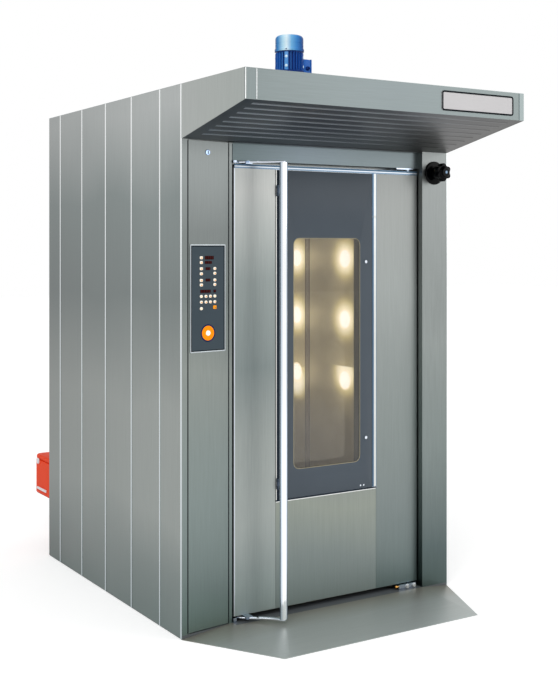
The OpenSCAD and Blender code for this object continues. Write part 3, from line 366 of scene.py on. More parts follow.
def add(tree, kind, inputs=(), stops=(), **settings):
    """Adds a shader node with its settings, colour stops, values and links. A node among
    its inputs stands for that node's first output in use."""
    made = tree.nodes.new("ShaderNode" + kind)
    for key, value in settings.items():
        setattr(made, key, value)
    if stops:
        elements = made.color_ramp.elements
        while len(elements) < len(stops):
            elements.new(0.5)
        for element, (place, tone) in zip(elements, stops):
            element.position, element.color = place, linear(tone)
    for key, value in dict(inputs).items():
        if isinstance(value, bpy.types.Node):
            value = next(socket for socket in value.outputs if socket.enabled)
        if isinstance(value, bpy.types.NodeSocket):
            tree.links.new(value, made.inputs[key])
        else:
            made.inputs[key].default_value = value
    return made


def new_material(name):
    """An empty material, its tree, and the place on the piece in metres."""
    material = bpy.data.materials.new(name)
    material.use_nodes = True
    tree = material.node_tree
    tree.nodes.clear()
    return material, tree, add(tree, "TexCoord").outputs["Object"]


TINT = {"data_type": "RGBA", "blend_type": "MULTIPLY"}


def shine(tree, tone, fine, rough, sway=0.05, relief=0.0, depth=0.0006, **values):
    """Finishes a material with one principled surface. Its roughness sways about rough
    with a fine pattern, which is also its relief."""
    names = {key.replace("_", " ").title().replace("Ior", "IOR"): v for key, v in values.items()}
    if fine:
        rough = add(
            tree, "MapRange",
            {"Value": fine, "To Min": max(rough - sway, 0.02), "To Max": rough + sway},
        )
    if relief:
        names["Normal"] = add(
            tree, "Bump", {"Height": fine, "Strength": relief, "Distance": depth}
        )
    surface = add(tree, "BsdfPrincipled", {"Base Color": tone, "Roughness": rough, **names})
    add(tree, "OutputMaterial", {"Surface": surface})


def brushed(
    name, stops, rough=0.36, grain=(230, 230, 7), contrast=0.05, axis="Z", span=(0, 2.3),
    beyond=(), fade=None, metallic=1.0,
):
    """Brushed stainless sheet. Its tone changes slowly along one axis as painted reflection and
    shade, and fine lines from the brushing run along it: the real ones are 0.1 mm wide and are
    drawn about 4 mm wide so that they show. Each (axis, split, stops) of beyond gives the
    sheets past a split their own painted tones, fade=(axis, start, end, least) paints shade
    that darkens towards end."""
    material, tree, place = new_material(name)
    axes = add(tree, "SeparateXYZ", {"Vector": place}).outputs
    cloud = add(tree, "TexNoise", {"Vector": place, "Scale": 1.6, "Detail": 1.5})
    part = add(
        tree, "MapRange", {"Value": axes[axis], "From Min": span[0], "From Max": span[1]}
    )
    drift = add(tree, "MapRange", {"Value": cloud, "To Min": -0.07, "To Max": 0.07})
    share = add(tree, "Math", {0: part, 1: drift}, operation="ADD")
    tone = add(tree, "ValToRGB", {"Fac": share}, stops=stops)
    for side, split, others in beyond:
        past = add(tree, "Math", {0: axes[side], 1: split}, operation="GREATER_THAN")
        other = add(tree, "ValToRGB", {"Fac": share}, stops=others)
        tone = add(tree, "Mix", {0: past, 6: tone, 7: other}, data_type="RGBA")
    if fade:
        side, start, end, least = fade
        dim = add(
            tree, "MapRange",
            {"Value": axes[side], "From Min": start, "From Max": end, "To Min": 1,
             "To Max": least},
        )
        tone = add(tree, "Mix", {0: 1.0, 6: tone, 7: dim}, **TINT)
    lines_at = add(tree, "Mapping", {"Vector": place, "Scale": grain})
    lines = add(tree, "TexNoise", {"Vector": lines_at, "Scale": 1.0, "Detail": 3})
    shade = add(
        tree, "MapRange",
        {"Value": lines, "From Min": 0.3, "From Max": 0.7, "To Min": 1 - contrast,
         "To Max": 1 + contrast},
    )
    colour = add(tree, "Mix", {0: 1.0, 6: tone, 7: shade}, **TINT)
    shine(tree, colour, lines, rough, 0.06, 0.12, 0.0004, metallic=metallic)
    return material


def plain(name, tone, rough=0.4, spread=0.04, gloss=0.5, metallic=0.0, grit=400, relief=0.1):
    """A finish of one tone with slow variation and a fine surface of its own grit size."""
    material, tree, place = new_material(name)
    cloud = add(tree, "TexNoise", {"Vector": place, "Scale": 9.0, "Detail": 2})
    fine = add(tree, "TexNoise", {"Vector": place, "Scale": grit, "Detail": 2})
    shade = add(
        tree, "MapRange", {"Value": cloud, "To Min": 1 - spread * 2, "To Max": 1 + spread * 2}
    )
    colour = add(tree, "Mix", {0: 1.0, 6: linear(tone), 7: shade}, **TINT)
    shine(
        tree, colour, fine, rough, relief=relief, metallic=metallic, specular_ior_level=gloss
    )
    return material


def glowing(name, tone, strength):
    """A surface with its own light: lamp glass or a lit display, or a painted glow on a part that
    is no lamp.
    """
    material, tree, place = new_material(name)
    cloud = add(tree, "TexNoise", {"Vector": place, "Scale": 60.0})
    power = add(
        tree, "MapRange", {"Value": cloud, "To Min": strength * 0.9, "To Max": strength * 1.1}
    )
    shine(
        tree, linear(tone), None, 0.4, specular_ior_level=0.1, emission_color=linear(tone),
        emission_strength=power,
    )
    return material


def clear_glass(name, tone, rough=0.02):
    """Toughened float glass: clear, with the faint tint of its iron. Its gloss rises towards
    the edge of sight by facing, the same from both sides of each face."""
    material, tree, place = new_material(name)
    wave = add(tree, "TexNoise", {"Vector": place, "Scale": 3.0, "Detail": 0})
    bump = add(tree, "Bump", {"Height": wave, "Strength": 0.02, "Distance": 0.001})
    through = add(tree, "BsdfTransparent", {"Color": linear(tone)})
    gloss = add(
        tree, "BsdfGlossy", {"Color": linear("#ffffff"), "Roughness": rough, "Normal": bump}
    )
    facing = add(tree, "LayerWeight", {"Blend": 0.5}).outputs["Facing"]
    steep = add(tree, "Math", {0: facing, 1: 5.0}, operation="POWER")
    edge = add(tree, "Math", {0: steep, 1: 0.96, 2: 0.04}, operation="MULTIPLY_ADD")
    mixed = add(tree, "MixShader", {0: edge, 1: through, 2: gloss})
    add(tree, "OutputMaterial", {"Surface": mixed})
    return material


def across(name, span, stops, rough=0.12, metallic=1.0, turn=0.0, y=0.0, gloss=0.5):
    """Section whose tone changes across its width: a painted highlight and painted shade, as if
    its rolled edges turned away from the light.
    The width is measured from x = 0 and y, turned by turn degrees about the upright axis."""
    material, tree, place = new_material(name)
    turn = math.radians(turn)
    aside = Matrix.Rotation(turn, 3, "Z") @ Vector((0, y * MM, 0))
    facing = add(
        tree, "Mapping", {"Vector": place, "Rotation": (0, 0, turn), "Location": -aside}
    )
    value = add(tree, "SeparateXYZ", {"Vector": facing}).outputs["X"]
    part = add(
        tree, "MapRange", {"Value": value, "From Min": span[0] * MM, "From Max": span[1] * MM}
    )
    tone = add(tree, "ValToRGB", {"Fac": part}, stops=stops)
    fine_at = add(tree, "Mapping", {"Vector": place, "Scale": (400, 400, 9)})
    fine = add(tree, "TexNoise", {"Vector": fine_at, "Scale": 1.0})
    shine(tree, tone, fine, rough, metallic=metallic, specular_ior_level=gloss)
    return material


def painted_lamp_halos(name):
    """Chamber sheet round the lamps: brushed steel with their warm halos painted on as glowing
    pools of light, one at each lamp, cut off above the lower edge of the upper lining sheet.
    That edge and the lowest halos sit a little lower round the deep lamps than round the near
    ones."""
    material, tree, place = new_material(name)
    axes = add(tree, "SeparateXYZ", {"Vector": place}).outputs
    low, high = box_mm("lamp_glasses")
    # The edge lies 25 mm lower round the deep lamps and 15 mm higher round the near ones,
    # and the halos under it move twice as far
    deep = add(tree, "Math", {0: axes["Y"], 1: 0.228}, operation="GREATER_THAN")
    drop = add(tree, "Math", {0: deep, 1: 0.04, 2: -0.015}, operation="MULTIPLY_ADD")
    height = add(tree, "Math", {0: axes["Z"], 1: drop}, operation="ADD")
    under = add(tree, "Math", {0: height, 1: 0.985}, operation="LESS_THAN")
    thrown = add(tree, "Math", {0: under, 1: drop}, operation="MULTIPLY")
    lowered = add(tree, "Math", {0: thrown, 1: 2.0, 2: axes["Z"]}, operation="MULTIPLY_ADD")
    # Squares of the distance to the nearest lamp along Y and Z
    reach = []
    for value, i, count in ((axes["Y"], 1, 2), (lowered, 2, 3)):
        start, end = low[i] + LAMP_R, high[i] - LAMP_R
        half = (end - start) / (count - 1) / 2 * MM
        away = add(tree, "Math", {0: value, 1: start * MM}, operation="SUBTRACT")
        near = add(tree, "Math", {0: away, 1: half}, operation="PINGPONG")
        reach.append(add(tree, "Math", {0: near, 1: near}, operation="MULTIPLY"))
    square = add(tree, "Math", {0: reach[0], 1: reach[1]}, operation="ADD")
    away = add(tree, "Math", {0: square}, operation="SQRT")
    halo = add(
        tree, "MapRange",
        {"Value": away, "From Min": 0.025, "From Max": 0.155, "To Min": 1.0, "To Max": 0.0},
        interpolation_type="SMOOTHSTEP",
    )
    # The halos end at the top and bottom of the lamps' field and before the doorway
    for axis, outside, inside in (("Z", 1.76, 1.70), ("Z", 0.75, 0.80), ("Y", -0.24, -0.20)):
        bounds = add(
            tree, "MapRange", {"Value": axes[axis], "From Min": outside, "From Max": inside}
        )
        halo = add(tree, "Math", {0: halo, 1: bounds}, operation="MULTIPLY")
    # In a band above the edge the painted halos are all but gone, as painted shade
    band = add(tree, "Math", {0: height, 1: 1.036, 2: 0.051}, operation="COMPARE")
    shade = add(tree, "MapRange", {"Value": band, "To Min": 1.0, "To Max": 0.12})
    halo = add(tree, "Math", {0: halo, 1: shade}, operation="MULTIPLY")
    cloud = add(tree, "TexNoise", {"Vector": place, "Scale": 5.0, "Detail": 3})
    tone = add(tree, "ValToRGB", {"Fac": cloud}, stops=((0.3, "#bdb59b"), (0.7, "#d3ccb3")))
    lines_at = add(tree, "Mapping", {"Vector": place, "Scale": (230, 230, 7)})
    lines = add(tree, "TexNoise", {"Vector": lines_at, "Scale": 1.0, "Detail": 3})
    glow = add(
        tree, "ValToRGB", {"Fac": halo},
        stops=((0.0, "#a6925c"), (0.4, "#dfcf84"), (0.75, "#fcf7df"), (1.0, "#ffffff")),
    )
    power = add(tree, "Math", {0: halo, 1: 0.9}, operation="MULTIPLY")
    shine(
        tree, tone, lines, 0.58, 0.06, metallic=0.2, emission_color=glow,
        emission_strength=power,
    )
    return material


# Tones of wide brushed sheets from the floor up, painted reflection and shade: (share of the
# cabinet's height, tone)
SIDE_TONES = (
    (0.0, "#65716f"), (0.09, "#767f7d"), (0.2, "#8c928f"), (0.4, "#909592"),
    (0.6, "#737b7a"), (0.8, "#808988"), (0.98, "#abafae"),
)
DOOR_TONES = (
    (0.02, "#97a3a1"), (0.1, "#969f9d"), (0.2, "#a2a8a5"), (0.34, "#999f9c"),
    (0.5, "#828b8a"), (0.65, "#8f9795"), (0.8, "#b9bbb8"), (0.95, "#b5b8b6"),
)
LOWER_TONES = ((0.02, "#808b89"), (0.1, "#838c8a"), (0.2, "#91978f"), (0.34, "#898e8c"))
HINGE_SIDE_TONES = (
    (0.02, "#677675"), (0.08, "#717d7c"), (0.2, "#7f8887"), (0.34, "#868e8c"),
    (0.5, "#8f9593"), (0.62, "#969b99"), (0.8, "#939694"), (0.95, "#8f9291"),
)
COLUMN_TONES = (
    (0.02, "#72837f"), (0.07, "#727f7d"), (0.25, "#7f8a88"), (0.48, "#888e8a"),
    (0.6, "#747b79"), (0.74, "#707574"), (0.87, "#828786"),
)
PILLAR_TONES = (
    (0.02, "#4e5b59"), (0.1, "#596565"), (0.3, "#7e8785"), (0.5, "#8c9290"),
    (0.8, "#818584"), (0.95, "#7d8180"),
)
FASCIA_TONES = ((0.0, "#818a8a"), (0.5, "#757d7e"), (1.0, "#727a79"))
POLISHED_TONES = ((0.0, "#9aa6b6"), (0.5, "#aab6c6"), (1.0, "#bcc8d8"))
CROSSWISE = {"grain": (7, 230, 230), "axis": "X"}
POLISHED = {"grain": (300, 300, 10), "rough": 0.14, "contrast": 0.04}
HOOD_SHEET = {
    "grain": (9, 260, 260), "axis": "X", "span": (-0.77, 0.66), "contrast": 0.16,
    "metallic": 0.4,
}
PAINT_TURN = {"metallic": 0.0, "turn": 32, "y": -275}

M = {}


def make_materials(look):
    """All finishes of the oven."""
    # Stainless sheet, brushed upright: soft upright streaks over broad painted reflections and
    # shade that change with height, or along the hood's cheek; the side sheets are painted darker
    # towards the rear
    M["side"] = brushed("BrushedSideSheet", SIDE_TONES, fade=("Y", -0.45, 0.85, 0.74))
    M["door"] = brushed(
        "BrushedDoorSheet", DOOR_TONES, rough=0.46,
        beyond=(("X", -0.2895, LOWER_TONES), ("X", 0.2595, HINGE_SIDE_TONES)),
    )
    M["column"] = brushed("BrushedColumnSheet", COLUMN_TONES)
    M["pillar"] = brushed("BrushedPillarSheet", PILLAR_TONES)
    M["cheek"] = brushed(
        "BrushedCheek", FASCIA_TONES, axis="Y", span=(-1.2, -0.6),
        beyond=(("Y", -1.163, ((0.0, "#a2a8a5"), (0.5, "#a5aaa7"), (1.0, "#a7aba9"))),),
    )
    # The same sheet brushed along its width: level streaks over painted reflection and shade; the
    # lintel is painted darker as the hood's shadow, the ramp darker towards the door as a painted
    # reflection
    M["lintel"] = brushed(
        "BrushedLintel",
        ((0.0, "#697577"), (0.35, "#747f85"), (0.7, "#707a7d"), (1.0, "#6e7779")),
        span=(-0.51, 0.51), **CROSSWISE,
    )
    M["hood"] = brushed("BrushedHoodSheet", FASCIA_TONES, span=(-0.8, 0.7), **CROSSWISE)
    M["ramp"] = brushed(
        "BrushedRamp",
        ((0.0, "#b2b9b7"), (0.55, "#a8aeab"), (0.85, "#929289"), (1.0, "#848278")),
        grain=(7, 230, 230), axis="Y", span=(-1.06, -0.62), rough=0.42, metallic=0.5,
    )
    # Dark sheet under the hood, dull, its tone changing across its width as painted light and
    # shade, and painted highlights on the crests of its ribs
    M["under"] = brushed(
        "DarkHoodSheet",
        ((0.0, "#384047"), (0.25, "#40464d"), (0.6, "#44484e"), (0.8, "#3d3e3f"),
         (1.0, "#343330")),
        rough=0.4, **HOOD_SHEET,
    )
    M["rib"] = brushed(
        "RibCrestPaintedHighlight",
        ((0.0, "#8a959f"), (0.25, "#a6adb5"), (0.6, "#868c92"), (0.8, "#434547"),
         (1.0, "#2b2b2a")),
        rough=0.35, **HOOD_SHEET,
    )
    # Polished stainless profiles and strips: cool tones that change with height as painted
    # reflection, and painted shade on the door trim's strip beside the doorway
    M["bright"] = brushed("PolishedTrim", POLISHED_TONES, **POLISHED)
    M["trim"] = brushed(
        "PolishedDoorTrim", POLISHED_TONES, **POLISHED,
        beyond=(
            ("X", -0.291, ((0.0, "#39434f"), (1.0, "#434e5b"))),
            ("X", -0.24, POLISHED_TONES), ("Z", 1.961, POLISHED_TONES),
        ),
    )
    M["strip"] = brushed(
        "BrightStrip", ((0.0, "#b4bdc1"), (0.4, "#ccd3d6"), (1.0, "#f2f4f4")),
        grain=(300, 300, 10), rough=0.2, contrast=0.03,
    )
    # Sheets warm in tone, partly from heat tint and partly painted lamp light, the sheet with the
    # lamps' painted halos, and sheets dull in the body or spangled with zinc whose tone changes
    # with height as painted reflection
    M["chamber"] = brushed(
        "ChamberSheet",
        ((0.0, "#8f8469"), (0.4, "#9b8f74"), (0.7, "#a89c80"), (1.0, "#ab9f82")),
        rough=0.5, contrast=0.06,
    )
    M["halo_painted_wall"] = painted_lamp_halos("LampHaloPaintedSheet")
    M["stainless"] = brushed(
        "StainlessFold", ((0.0, "#8a9090"), (0.5, "#a0a5a4"), (1.0, "#adb1b0")), rough=0.3
    )
    M["galvanised"] = brushed(
        "GalvanisedSheet", ((0.0, "#7f8788"), (0.5, "#8f9798"), (1.0, "#9aa1a1")), contrast=0.1
    )
    # Round or rolled sections and the motor's paint: a painted highlight across them where they
    # would face the light, painted shade at the sides
    M["bar"] = across(
        "PolishedBar", (-346, -310),
        ((0.0, "#a9b8c8"), (0.1, "#ced8e2"), (0.25, "#fbfcfd"), (0.64, "#f7f9fa"),
         (0.82, "#9badc2"), (1.0, "#566a80")), rough=0.1,
    )
    M["fittings"] = across(
        "GlassFittings", (-236, -230), ((0.0, "#465160"), (1.0, "#d6dde6")), rough=0.2
    )
    M["motor_fin"] = across(
        "FinPaintedHighlight", (-72, 72),
        ((0.0, "#164a9c"), (0.2, "#2d74cc"), (0.36, "#5a9cdc"), (0.5, "#3c80ca"),
         (0.62, "#2460b8"), (1.0, "#15489a")), rough=0.3, gloss=0.2, **PAINT_TURN,
    )
    M["motor_cowl"] = across(
        "CowlPaintedHighlight", (-72, 72),
        ((0.0, "#0f3c80"), (0.12, "#3c8ccd"), (0.28, "#b8e2f7"), (0.4, "#dff3fc"),
         (0.56, "#74b4e2"), (0.74, "#3a84ca"), (0.9, "#1a559f"), (1.0, "#0b3068")),
        rough=0.35, gloss=0.1, **PAINT_TURN,
    )
    M["window"] = clear_glass("WindowGlass", "#f5f3ef")
    # The lamp glass and display segments give their own light; the keys, ring, button and lamp
    # bezels glow as painted light. All are even, only slightly brighter than their surroundings
    for key, name, tone, strength in (
        ("key_white", "KeyWhite", "#f3ecdd", 0.22),
        ("key_cream", "KeyCream", "#f7dca6", 0.3),
        ("key_orange", "KeyOrange", "#f7980e", 0.25),
        ("ring_orange", "RingOrange", "#ff8c00", 0.3),
        ("button", "ButtonWhite", "#fffdf8", 0.35),
        ("digit", "LitSegment", "#66110e", 0.1),
        ("lamp", "LampGlass", "#f2f2ff", look.lamp_glow),
        ("painted_glow_rim", "LampRim", "#f6ecdc", 0.6),
    ):
        M[key] = glowing(name, tone, strength)
    # Key, name, tone, roughness, variation, specular level, metallic, grit, relief
    for key, *values in (
        # Bright metal: sharp on plated parts, softer on rolled and drawn ones; the chrome is
        # tinted blue as a painted reflection
        ("chrome", "Chrome", "#9db2d0", 0.12, 0.03, 0.5, 1.0, 400, 0.02),
        ("lever", "PolishedLever", "#d9e0ea", 0.16, 0.03, 0.5, 1.0),
        ("bolt", "ZincedBolt", "#c9cdd0", 0.25, 0.03, 0.5, 1.0),
        ("brass", "TurnedBrass", "#b98a4a", 0.25, 0.04, 0.5, 1.0),
        ("bezel", "BezelAluminium", "#b4bbbf", 0.3, 0.04, 0.5, 1.0),
        ("heat", "HeatTintedSteel", "#8a6f58", 0.4, 0.16, 0.5, 1.0),
        # Trim lines: painted shade in grooves and along a fold, painted highlights on edges
        ("groove", "TrimGroove", "#70859a", 0.3, 0.04, 0.5, 1.0),
        ("groove_shade", "TrimGroovePaintedShade", "#4a6074", 0.35, 0.04, 0.5, 1.0),
        ("edge", "RolledEdge", "#c3cad0", 0.3, 0.03, 0.5, 1.0),
        ("warm_edge", "WarmEdge", "#d9dad6", 0.4, 0.03, 0.5, 1.0),
        ("fold_line", "FoldPaintedShade", "#5f6a6b", 0.4, 0.03, 0.5, 1.0),
        ("highlight_edge", "EdgePaintedHighlight", "#f4f5f4", 0.45, 0.01, 0.5, 1.0),
        # Cast metal: grainy and dull
        ("iron", "CastIron", "#3b3834", 0.6, 0.1, 0.5, 0.6, 400, 0.4),
        ("alu", "CastAluminium", "#8c9294", 0.45, 0.06, 0.5, 0.9, 400, 0.3),
        # Lining seams: matt, stained by heat
        ("seam", "LiningSeam", "#5e5547", 0.6, 0.06, 0.1, 0.2),
        ("seam_edge", "LiningSeamEdge", "#8e8374", 0.6, 0.06, 0.1, 0.2),
        # Prints, film and enamel: smooth, with a faint sheen
        ("glass_border", "PrintedGlass", look.glass_tone_hex, 0.3, 0.03, 0.2, 0.0, 400, 0.01),
        ("print_line", "PrintLine", "#a0987c", 0.3, 0.02),
        ("keypad", "KeypadFilm", "#3f4b53", 0.5, 0.03, 0.15, 0.0, 900),
        ("key_brown", "KeyBrown", "#a8763f", 0.45, 0.02, 0.5, 0.0, 900),
        ("ring_dark", "RingNavy", "#1b2b52", 0.5, 0.02, 0.05),
        ("display", "DisplayWindow", "#2a0a0b", 0.3, 0.02, 0.04),
        ("plate", "PaleEnamel", "#cbc9ca", 0.4, 0.01, 0.2),
        ("plate_rim", "DarkEnamel", "#0d1419", 0.6, 0.02, 0.05),
        # Machine paint: slightly uneven, half gloss; the darker motor tone is also painted shade
        # between the fins, the pale one a painted highlight
        ("motor", "MotorPaint", look.motor_tone_hex, 0.3, 0.08, 0.2),
        ("motor_dark", "MotorDarkPaintAndShade", "#0a2f74", 0.35, 0.1, 0.1),
        ("motor_highlight", "MotorPaintedHighlight", "#cfe8fb", 0.2, 0.03),
        ("frame", "FramePaint", "#565b5e", 0.5, 0.05),
        ("gearbox", "GearboxPaint", "#24507c", 0.35, 0.06, 0.5, 0.0, 400, 0.25),
        # Moulded plastic: even tone; the knob is glossy, the burner's cover satin
        ("black", "MouldedPhenolic", "#030405", 0.2, 0.03, 0.08),
        ("burner", "BurnerCoverPlastic", look.burner_tone_hex, 0.5, 0.03, 0.05),
        ("burner_low", "BurnerPlinth", "#b02c14", 0.45, 0.04, 0.2),
        ("white", "WhitePlastic", "#e9e6ea", 0.35, 0.02),
        ("gear_grey", "SwitchgearPlastic", "#8b9299", 0.45, 0.05),
        # Rubber, painted shade along seams, mineral wool and the shade in gaps: no shine
        ("rubber", "Silicone", "#17191b", 0.6, 0.05),
        ("belt", "BeltRubber", "#111214", 0.55, 0.05),
        ("bead", "SeamPaintedShade", "#10151a", 0.6, 0.04, 0.1),
        ("gap", "ShadowGap", "#252e38", 0.5, 0.03, 0.05),
        ("wool", "MineralWool", "#b8a878", 0.9, 0.12, 0.5, 0.0, 220, 0.8),
    ):
        M[key] = plain(*values)


# Finish of each CAD node, for those that are shown as they are
FINISH = {
    "side": "left_cladding right_cladding rear_cladding", "strip": "joint_strips",
    "galvanised": "roof_cladding", "frame": "base_slab frame_posts lamp_housings burner_tube",
    "wool": "insulation door_insulation", "chamber": "chamber_lining chamber_baffle",
    "stainless": "door_surround flue_pipe steam_pipe door_shell spindle rack_hook fan_wheel",
    "lintel": "lintel", "pillar": "right_pillar", "column": "column_frame cover_panel",
    "gear_grey": "control_gear", "cheek": "hood_shell", "hood": "hood_fascia",
    "under": "hood_underside", "plate": "hood_plate", "bolt": "hex_bolts",
    "bright": "hinge_brackets latch_keepers latch_levers", "ramp": "entry_ramp",
    "lamp": "lamp_glasses", "iron": "steam_generator spindle_bearing driven_pulley drive_pulley",
    "heat": "heat_exchanger", "burner": "burner_cover", "white": "burner_fittings",
    "alu": "fan_motor", "motor": "motor_body", "motor_cowl": "motor_cowl",
    "gearbox": "drive_gearbox", "belt": "drive_belt", "black": "knob_rosette damper_control",
    "door": "door_panels", "trim": "door_trim", "window": "inner_glass", "rubber": "door_seal",
    "bar": "handle_bar", "glass_border": "outer_glass", "fittings": "glass_fittings",
    "keypad": "keypad", "key_orange": "keypad_keys", "chrome": "cover_lock",
    "button": "start_button",
}


class OvenLook(bpy.types.PropertyGroup):
    """Sizes and colours that a user of the oven would change."""

    motor_tone_hex: bpy.props.StringProperty(
        name="Motor Paint", description="Paint of the roof motor, as an sRGB hex value",
        default="#1f62b8",
    )
    burner_tone_hex: bpy.props.StringProperty(
        name="Burner Cover", description="Colour of the burner's cover, as an sRGB hex value",
        default="#f24a24",
    )
    glass_tone_hex: bpy.props.StringProperty(
        name="Glass Print", description="Colour behind the outer glass, as an sRGB hex value",
        default="#4f5861",
    )
    lamp_glow: bpy.props.FloatProperty(
        name="Lamp Glow", description="Strength of the lamp glasses' own light",
        default=0.75, min=0.0, max=50.0,
    )
    window_corner: bpy.props.FloatProperty(
        name="Window Corner", description="Radius of the clear window's corners",
        default=0.03, min=0.0, max=0.08, unit="LENGTH",
    )
    knob_lobes: bpy.props.IntProperty(
        name="Knob Lobes", description="Number of grips round the damper's knob",
        default=6, min=3, max=10,
    )
    motor_fins: bpy.props.IntProperty(
        name="Motor Fins", description="Number of cooling fins round each motor",
        default=28, min=12, max=48,
    )


class OVEN_OT_finishes(bpy.types.Operator):
    """Gives every CAD node its finish"""

    bl_idname = "oven.finishes"
    bl_label = "Finishes"

    def execute(self, context):
        make_materials(context.scene.oven_look)
        for key, nodes in FINISH.items():
            painted(key, *(frame["nodes"][node] for node in nodes.split()))
        return {"FINISHED"}


# ---------------------------------------------------------------- motors


def screw(place, axis, radius, height):
    """A pan-head screw with a cross recess drawn as dark bars of painted shade, standing on
    place.
    """
    top = dome(radius, height, height * 0.6, 4)
    head = turned((0, 0, 0), "Z", [(radius, 0), (radius, height * 0.35), *top], 20)
    long, low = radius * 0.6, height - 0.6
    marks = [
        block((-long, -0.5, low), (long, 0.5, height + 0.04)),
        block((-0.5, -long, low), (0.5, long, height + 0.02)),
    ]
    return stood(painted("bolt", head) + painted("rubber", *marks), place, axis)


def finned(core, radius, height, count, keys=("motor_dark", "motor_fin", "motor_highlight")):
    """A motor body from the origin up: end rings, core, cooling fins and tie-bolt pads."""
    body = turned(
        (0, 0, 0), "Z",
        [(radius - 4, 0), (radius - 1, 1), (radius - 1, 7), (radius - 4, 8.5), (core, 9.5),
         (core, height - 7), (radius - 5, height - 6), (radius - 5, height)], 56,
    )
    fin = block((core - 1, -1.3, 8), (radius - 3, 1.3, height - 6), 0.8, 1)
    pads = spun(block((core - 1, -9, 8), (radius - 2.5, 9, height - 6), 1.6), 4, 45)
    heads = []
    for share in (0.28, 0.72):
        place = (radius - 3, 0, height * share)
        heads += spun(turned(place, "X", [(7, 0), (7, 1.2), (5, 2.4), (2, 2.6)], 16), 4, 45)
    # With the default finishes the core is painted dark as shade between the fins, the fins and
    # pads carry a painted highlight and the bolt heads a paler painted highlight
    return (
        painted(keys[0], body) + painted(keys[1], *pads, *spun(fin, count))
        + painted(keys[2], *heads)
    )


def cowl(radius, height, round_r, keys=("motor_cowl", "motor", "motor_dark")):
    """A motor's fan cowl from the origin up: rim, pressed step, domed edge, top grille."""
    wall, step = radius - 3, height * 0.45
    shell = turned(
        (0, 0, 0), "Z",
        [(radius - 2, 0), (radius, 1.2), (radius, 12), (radius - 1, 13.4), (wall, 14),
         (wall, step), (wall - 0.8, step + 1), (wall - 0.8, step + 3), (wall, step + 4),
         *dome(wall, height, round_r, 6), (radius * 0.62, height),
         (radius * 0.6, height - 1.6), (radius * 0.2, height - 1.6), (radius * 0.18, height),
         (radius * 0.05, height)], 56,
    )
    bar = block((radius * 0.16, -1.1, height - 3), (radius * 0.63, 1.1, height - 0.3), 0.4, 1)
    ring = turned(
        (0, 0, height - 3), "Z",
        [(radius * 0.42, 0), (radius * 0.42, 2.6), (radius * 0.4, 2.7)],
    )
    head = turned((radius - 0.6, 0, 6.5), "X", [(3.2, 0), (3.2, 0.8), (2.2, 1.6)], 14)
    # With the default finishes the cowl carries a painted highlight and painted shade across it
    return (
        painted(keys[0], shell, *spun(bar, 18)) + painted(keys[1], ring)
        + painted(keys[2], *spun(head, 4, 45))
    )


class OVEN_OT_roof_motor(bpy.types.Operator):
    """Finned drive motor on the roof with its fan cowl and terminal box"""

    bl_idname = "oven.roof_motor"
    bl_label = "Roof Motor"

    def execute(self, context):
        low, high = box_mm("motor_cowl")
        x, y, _ = middle("motor_cowl")
        radius = (high[0] - low[0]) / 2
        foot, top = (corner[2] for corner in box_mm("motor_body"))
        body = finned(radius - 12, radius, top - foot, context.scene.oven_look.motor_fins)
        terminal = block((radius - 16, -38, 0.5), (radius + 27, 38, 68), 5, 3)
        lid = block((radius + 27.5, -37, 1.5), (radius + 35, 37, 69.5), 3, 3)
        gland = turned(
            (radius + 8, -37, 24), "-Y",
            [(11, 0), (11, 6), (8.5, 7), (8.5, 13), (6, 15), (5.8, 9)], 6,
        )
        body += painted("motor", terminal, lid) + painted("motor_dark", gland)
        for j, k in ((-30, 8), (30, 8), (-30, 63), (30, 63)):
            body += screw((radius + 35, j, k), "X", 3, 1.8)
        piece("MotorBody", ROOT, "motor_blue", stood(body, (x, y, foot)), "motor_body")
        parts = stood(cowl(radius, high[2] - low[2], 18), (x, y, low[2]))
        piece("MotorCowl", ROOT, "motor_blue", parts, "motor_cowl")
        return {"FINISHED"}


class OVEN_OT_fan_motor(bpy.types.Operator):
    """Finned motor of the circulation fan on the rear wall"""

    bl_idname = "oven.fan_motor"
    bl_label = "Fan Motor"

    def execute(self, context):
        low, high = box_mm("fan_motor")
        z, half = (low[2] + high[2]) / 2, (high[2] - low[2]) / 2
        foot, cap = low[1] + 10, 55
        keys = ("frame", "alu", "bolt")
        outline = rounded_outline((-half, z - half), (half, z + half), 8)
        plate = prism(outline, low[1] + 0.02, foot, "XZ", 1)
        body = finned(68, 80, high[1] - foot - cap, context.scene.oven_look.motor_fins, keys)
        parts = painted("frame", plate) + stood(body, (0, foot, z), "Y")
        parts += stood(cowl(80, cap, 16, keys), (0, high[1] - cap, z), "Y")
        piece("FanMotor", ROOT, "motor_grey", parts, "fan_motor")
        return {"FINISHED"}


# ---------------------------------------------------------------- hood


class OVEN_OT_hood_plate(bpy.types.Operator):
    """Blank enamelled plate with a dark rim on the hood's front"""

    bl_idname = "oven.hood_plate"
    bl_label = "Hood Plate"

    def execute(self, context):
        low, high = box_mm("hood_plate")
        radius, rim, back = 12, 7, high[1]
        outer = rounded_outline((low[0], low[2]), (high[0], high[2]), radius)
        inner = rounded_outline(
            (low[0] + rim, low[2] + rim), (high[0] - rim, high[2] - rim), radius - rim
        )
        parts = painted("plate", prism(outer, back - 1.8, back, "XZ"))
        parts += painted("plate_rim", frame_plate(outer, inner, low[1], back - 1.8, edge=0.3))
        piece("HoodPlate", ROOT, "plate_white", parts, "hood_plate")
        return {"FINISHED"}


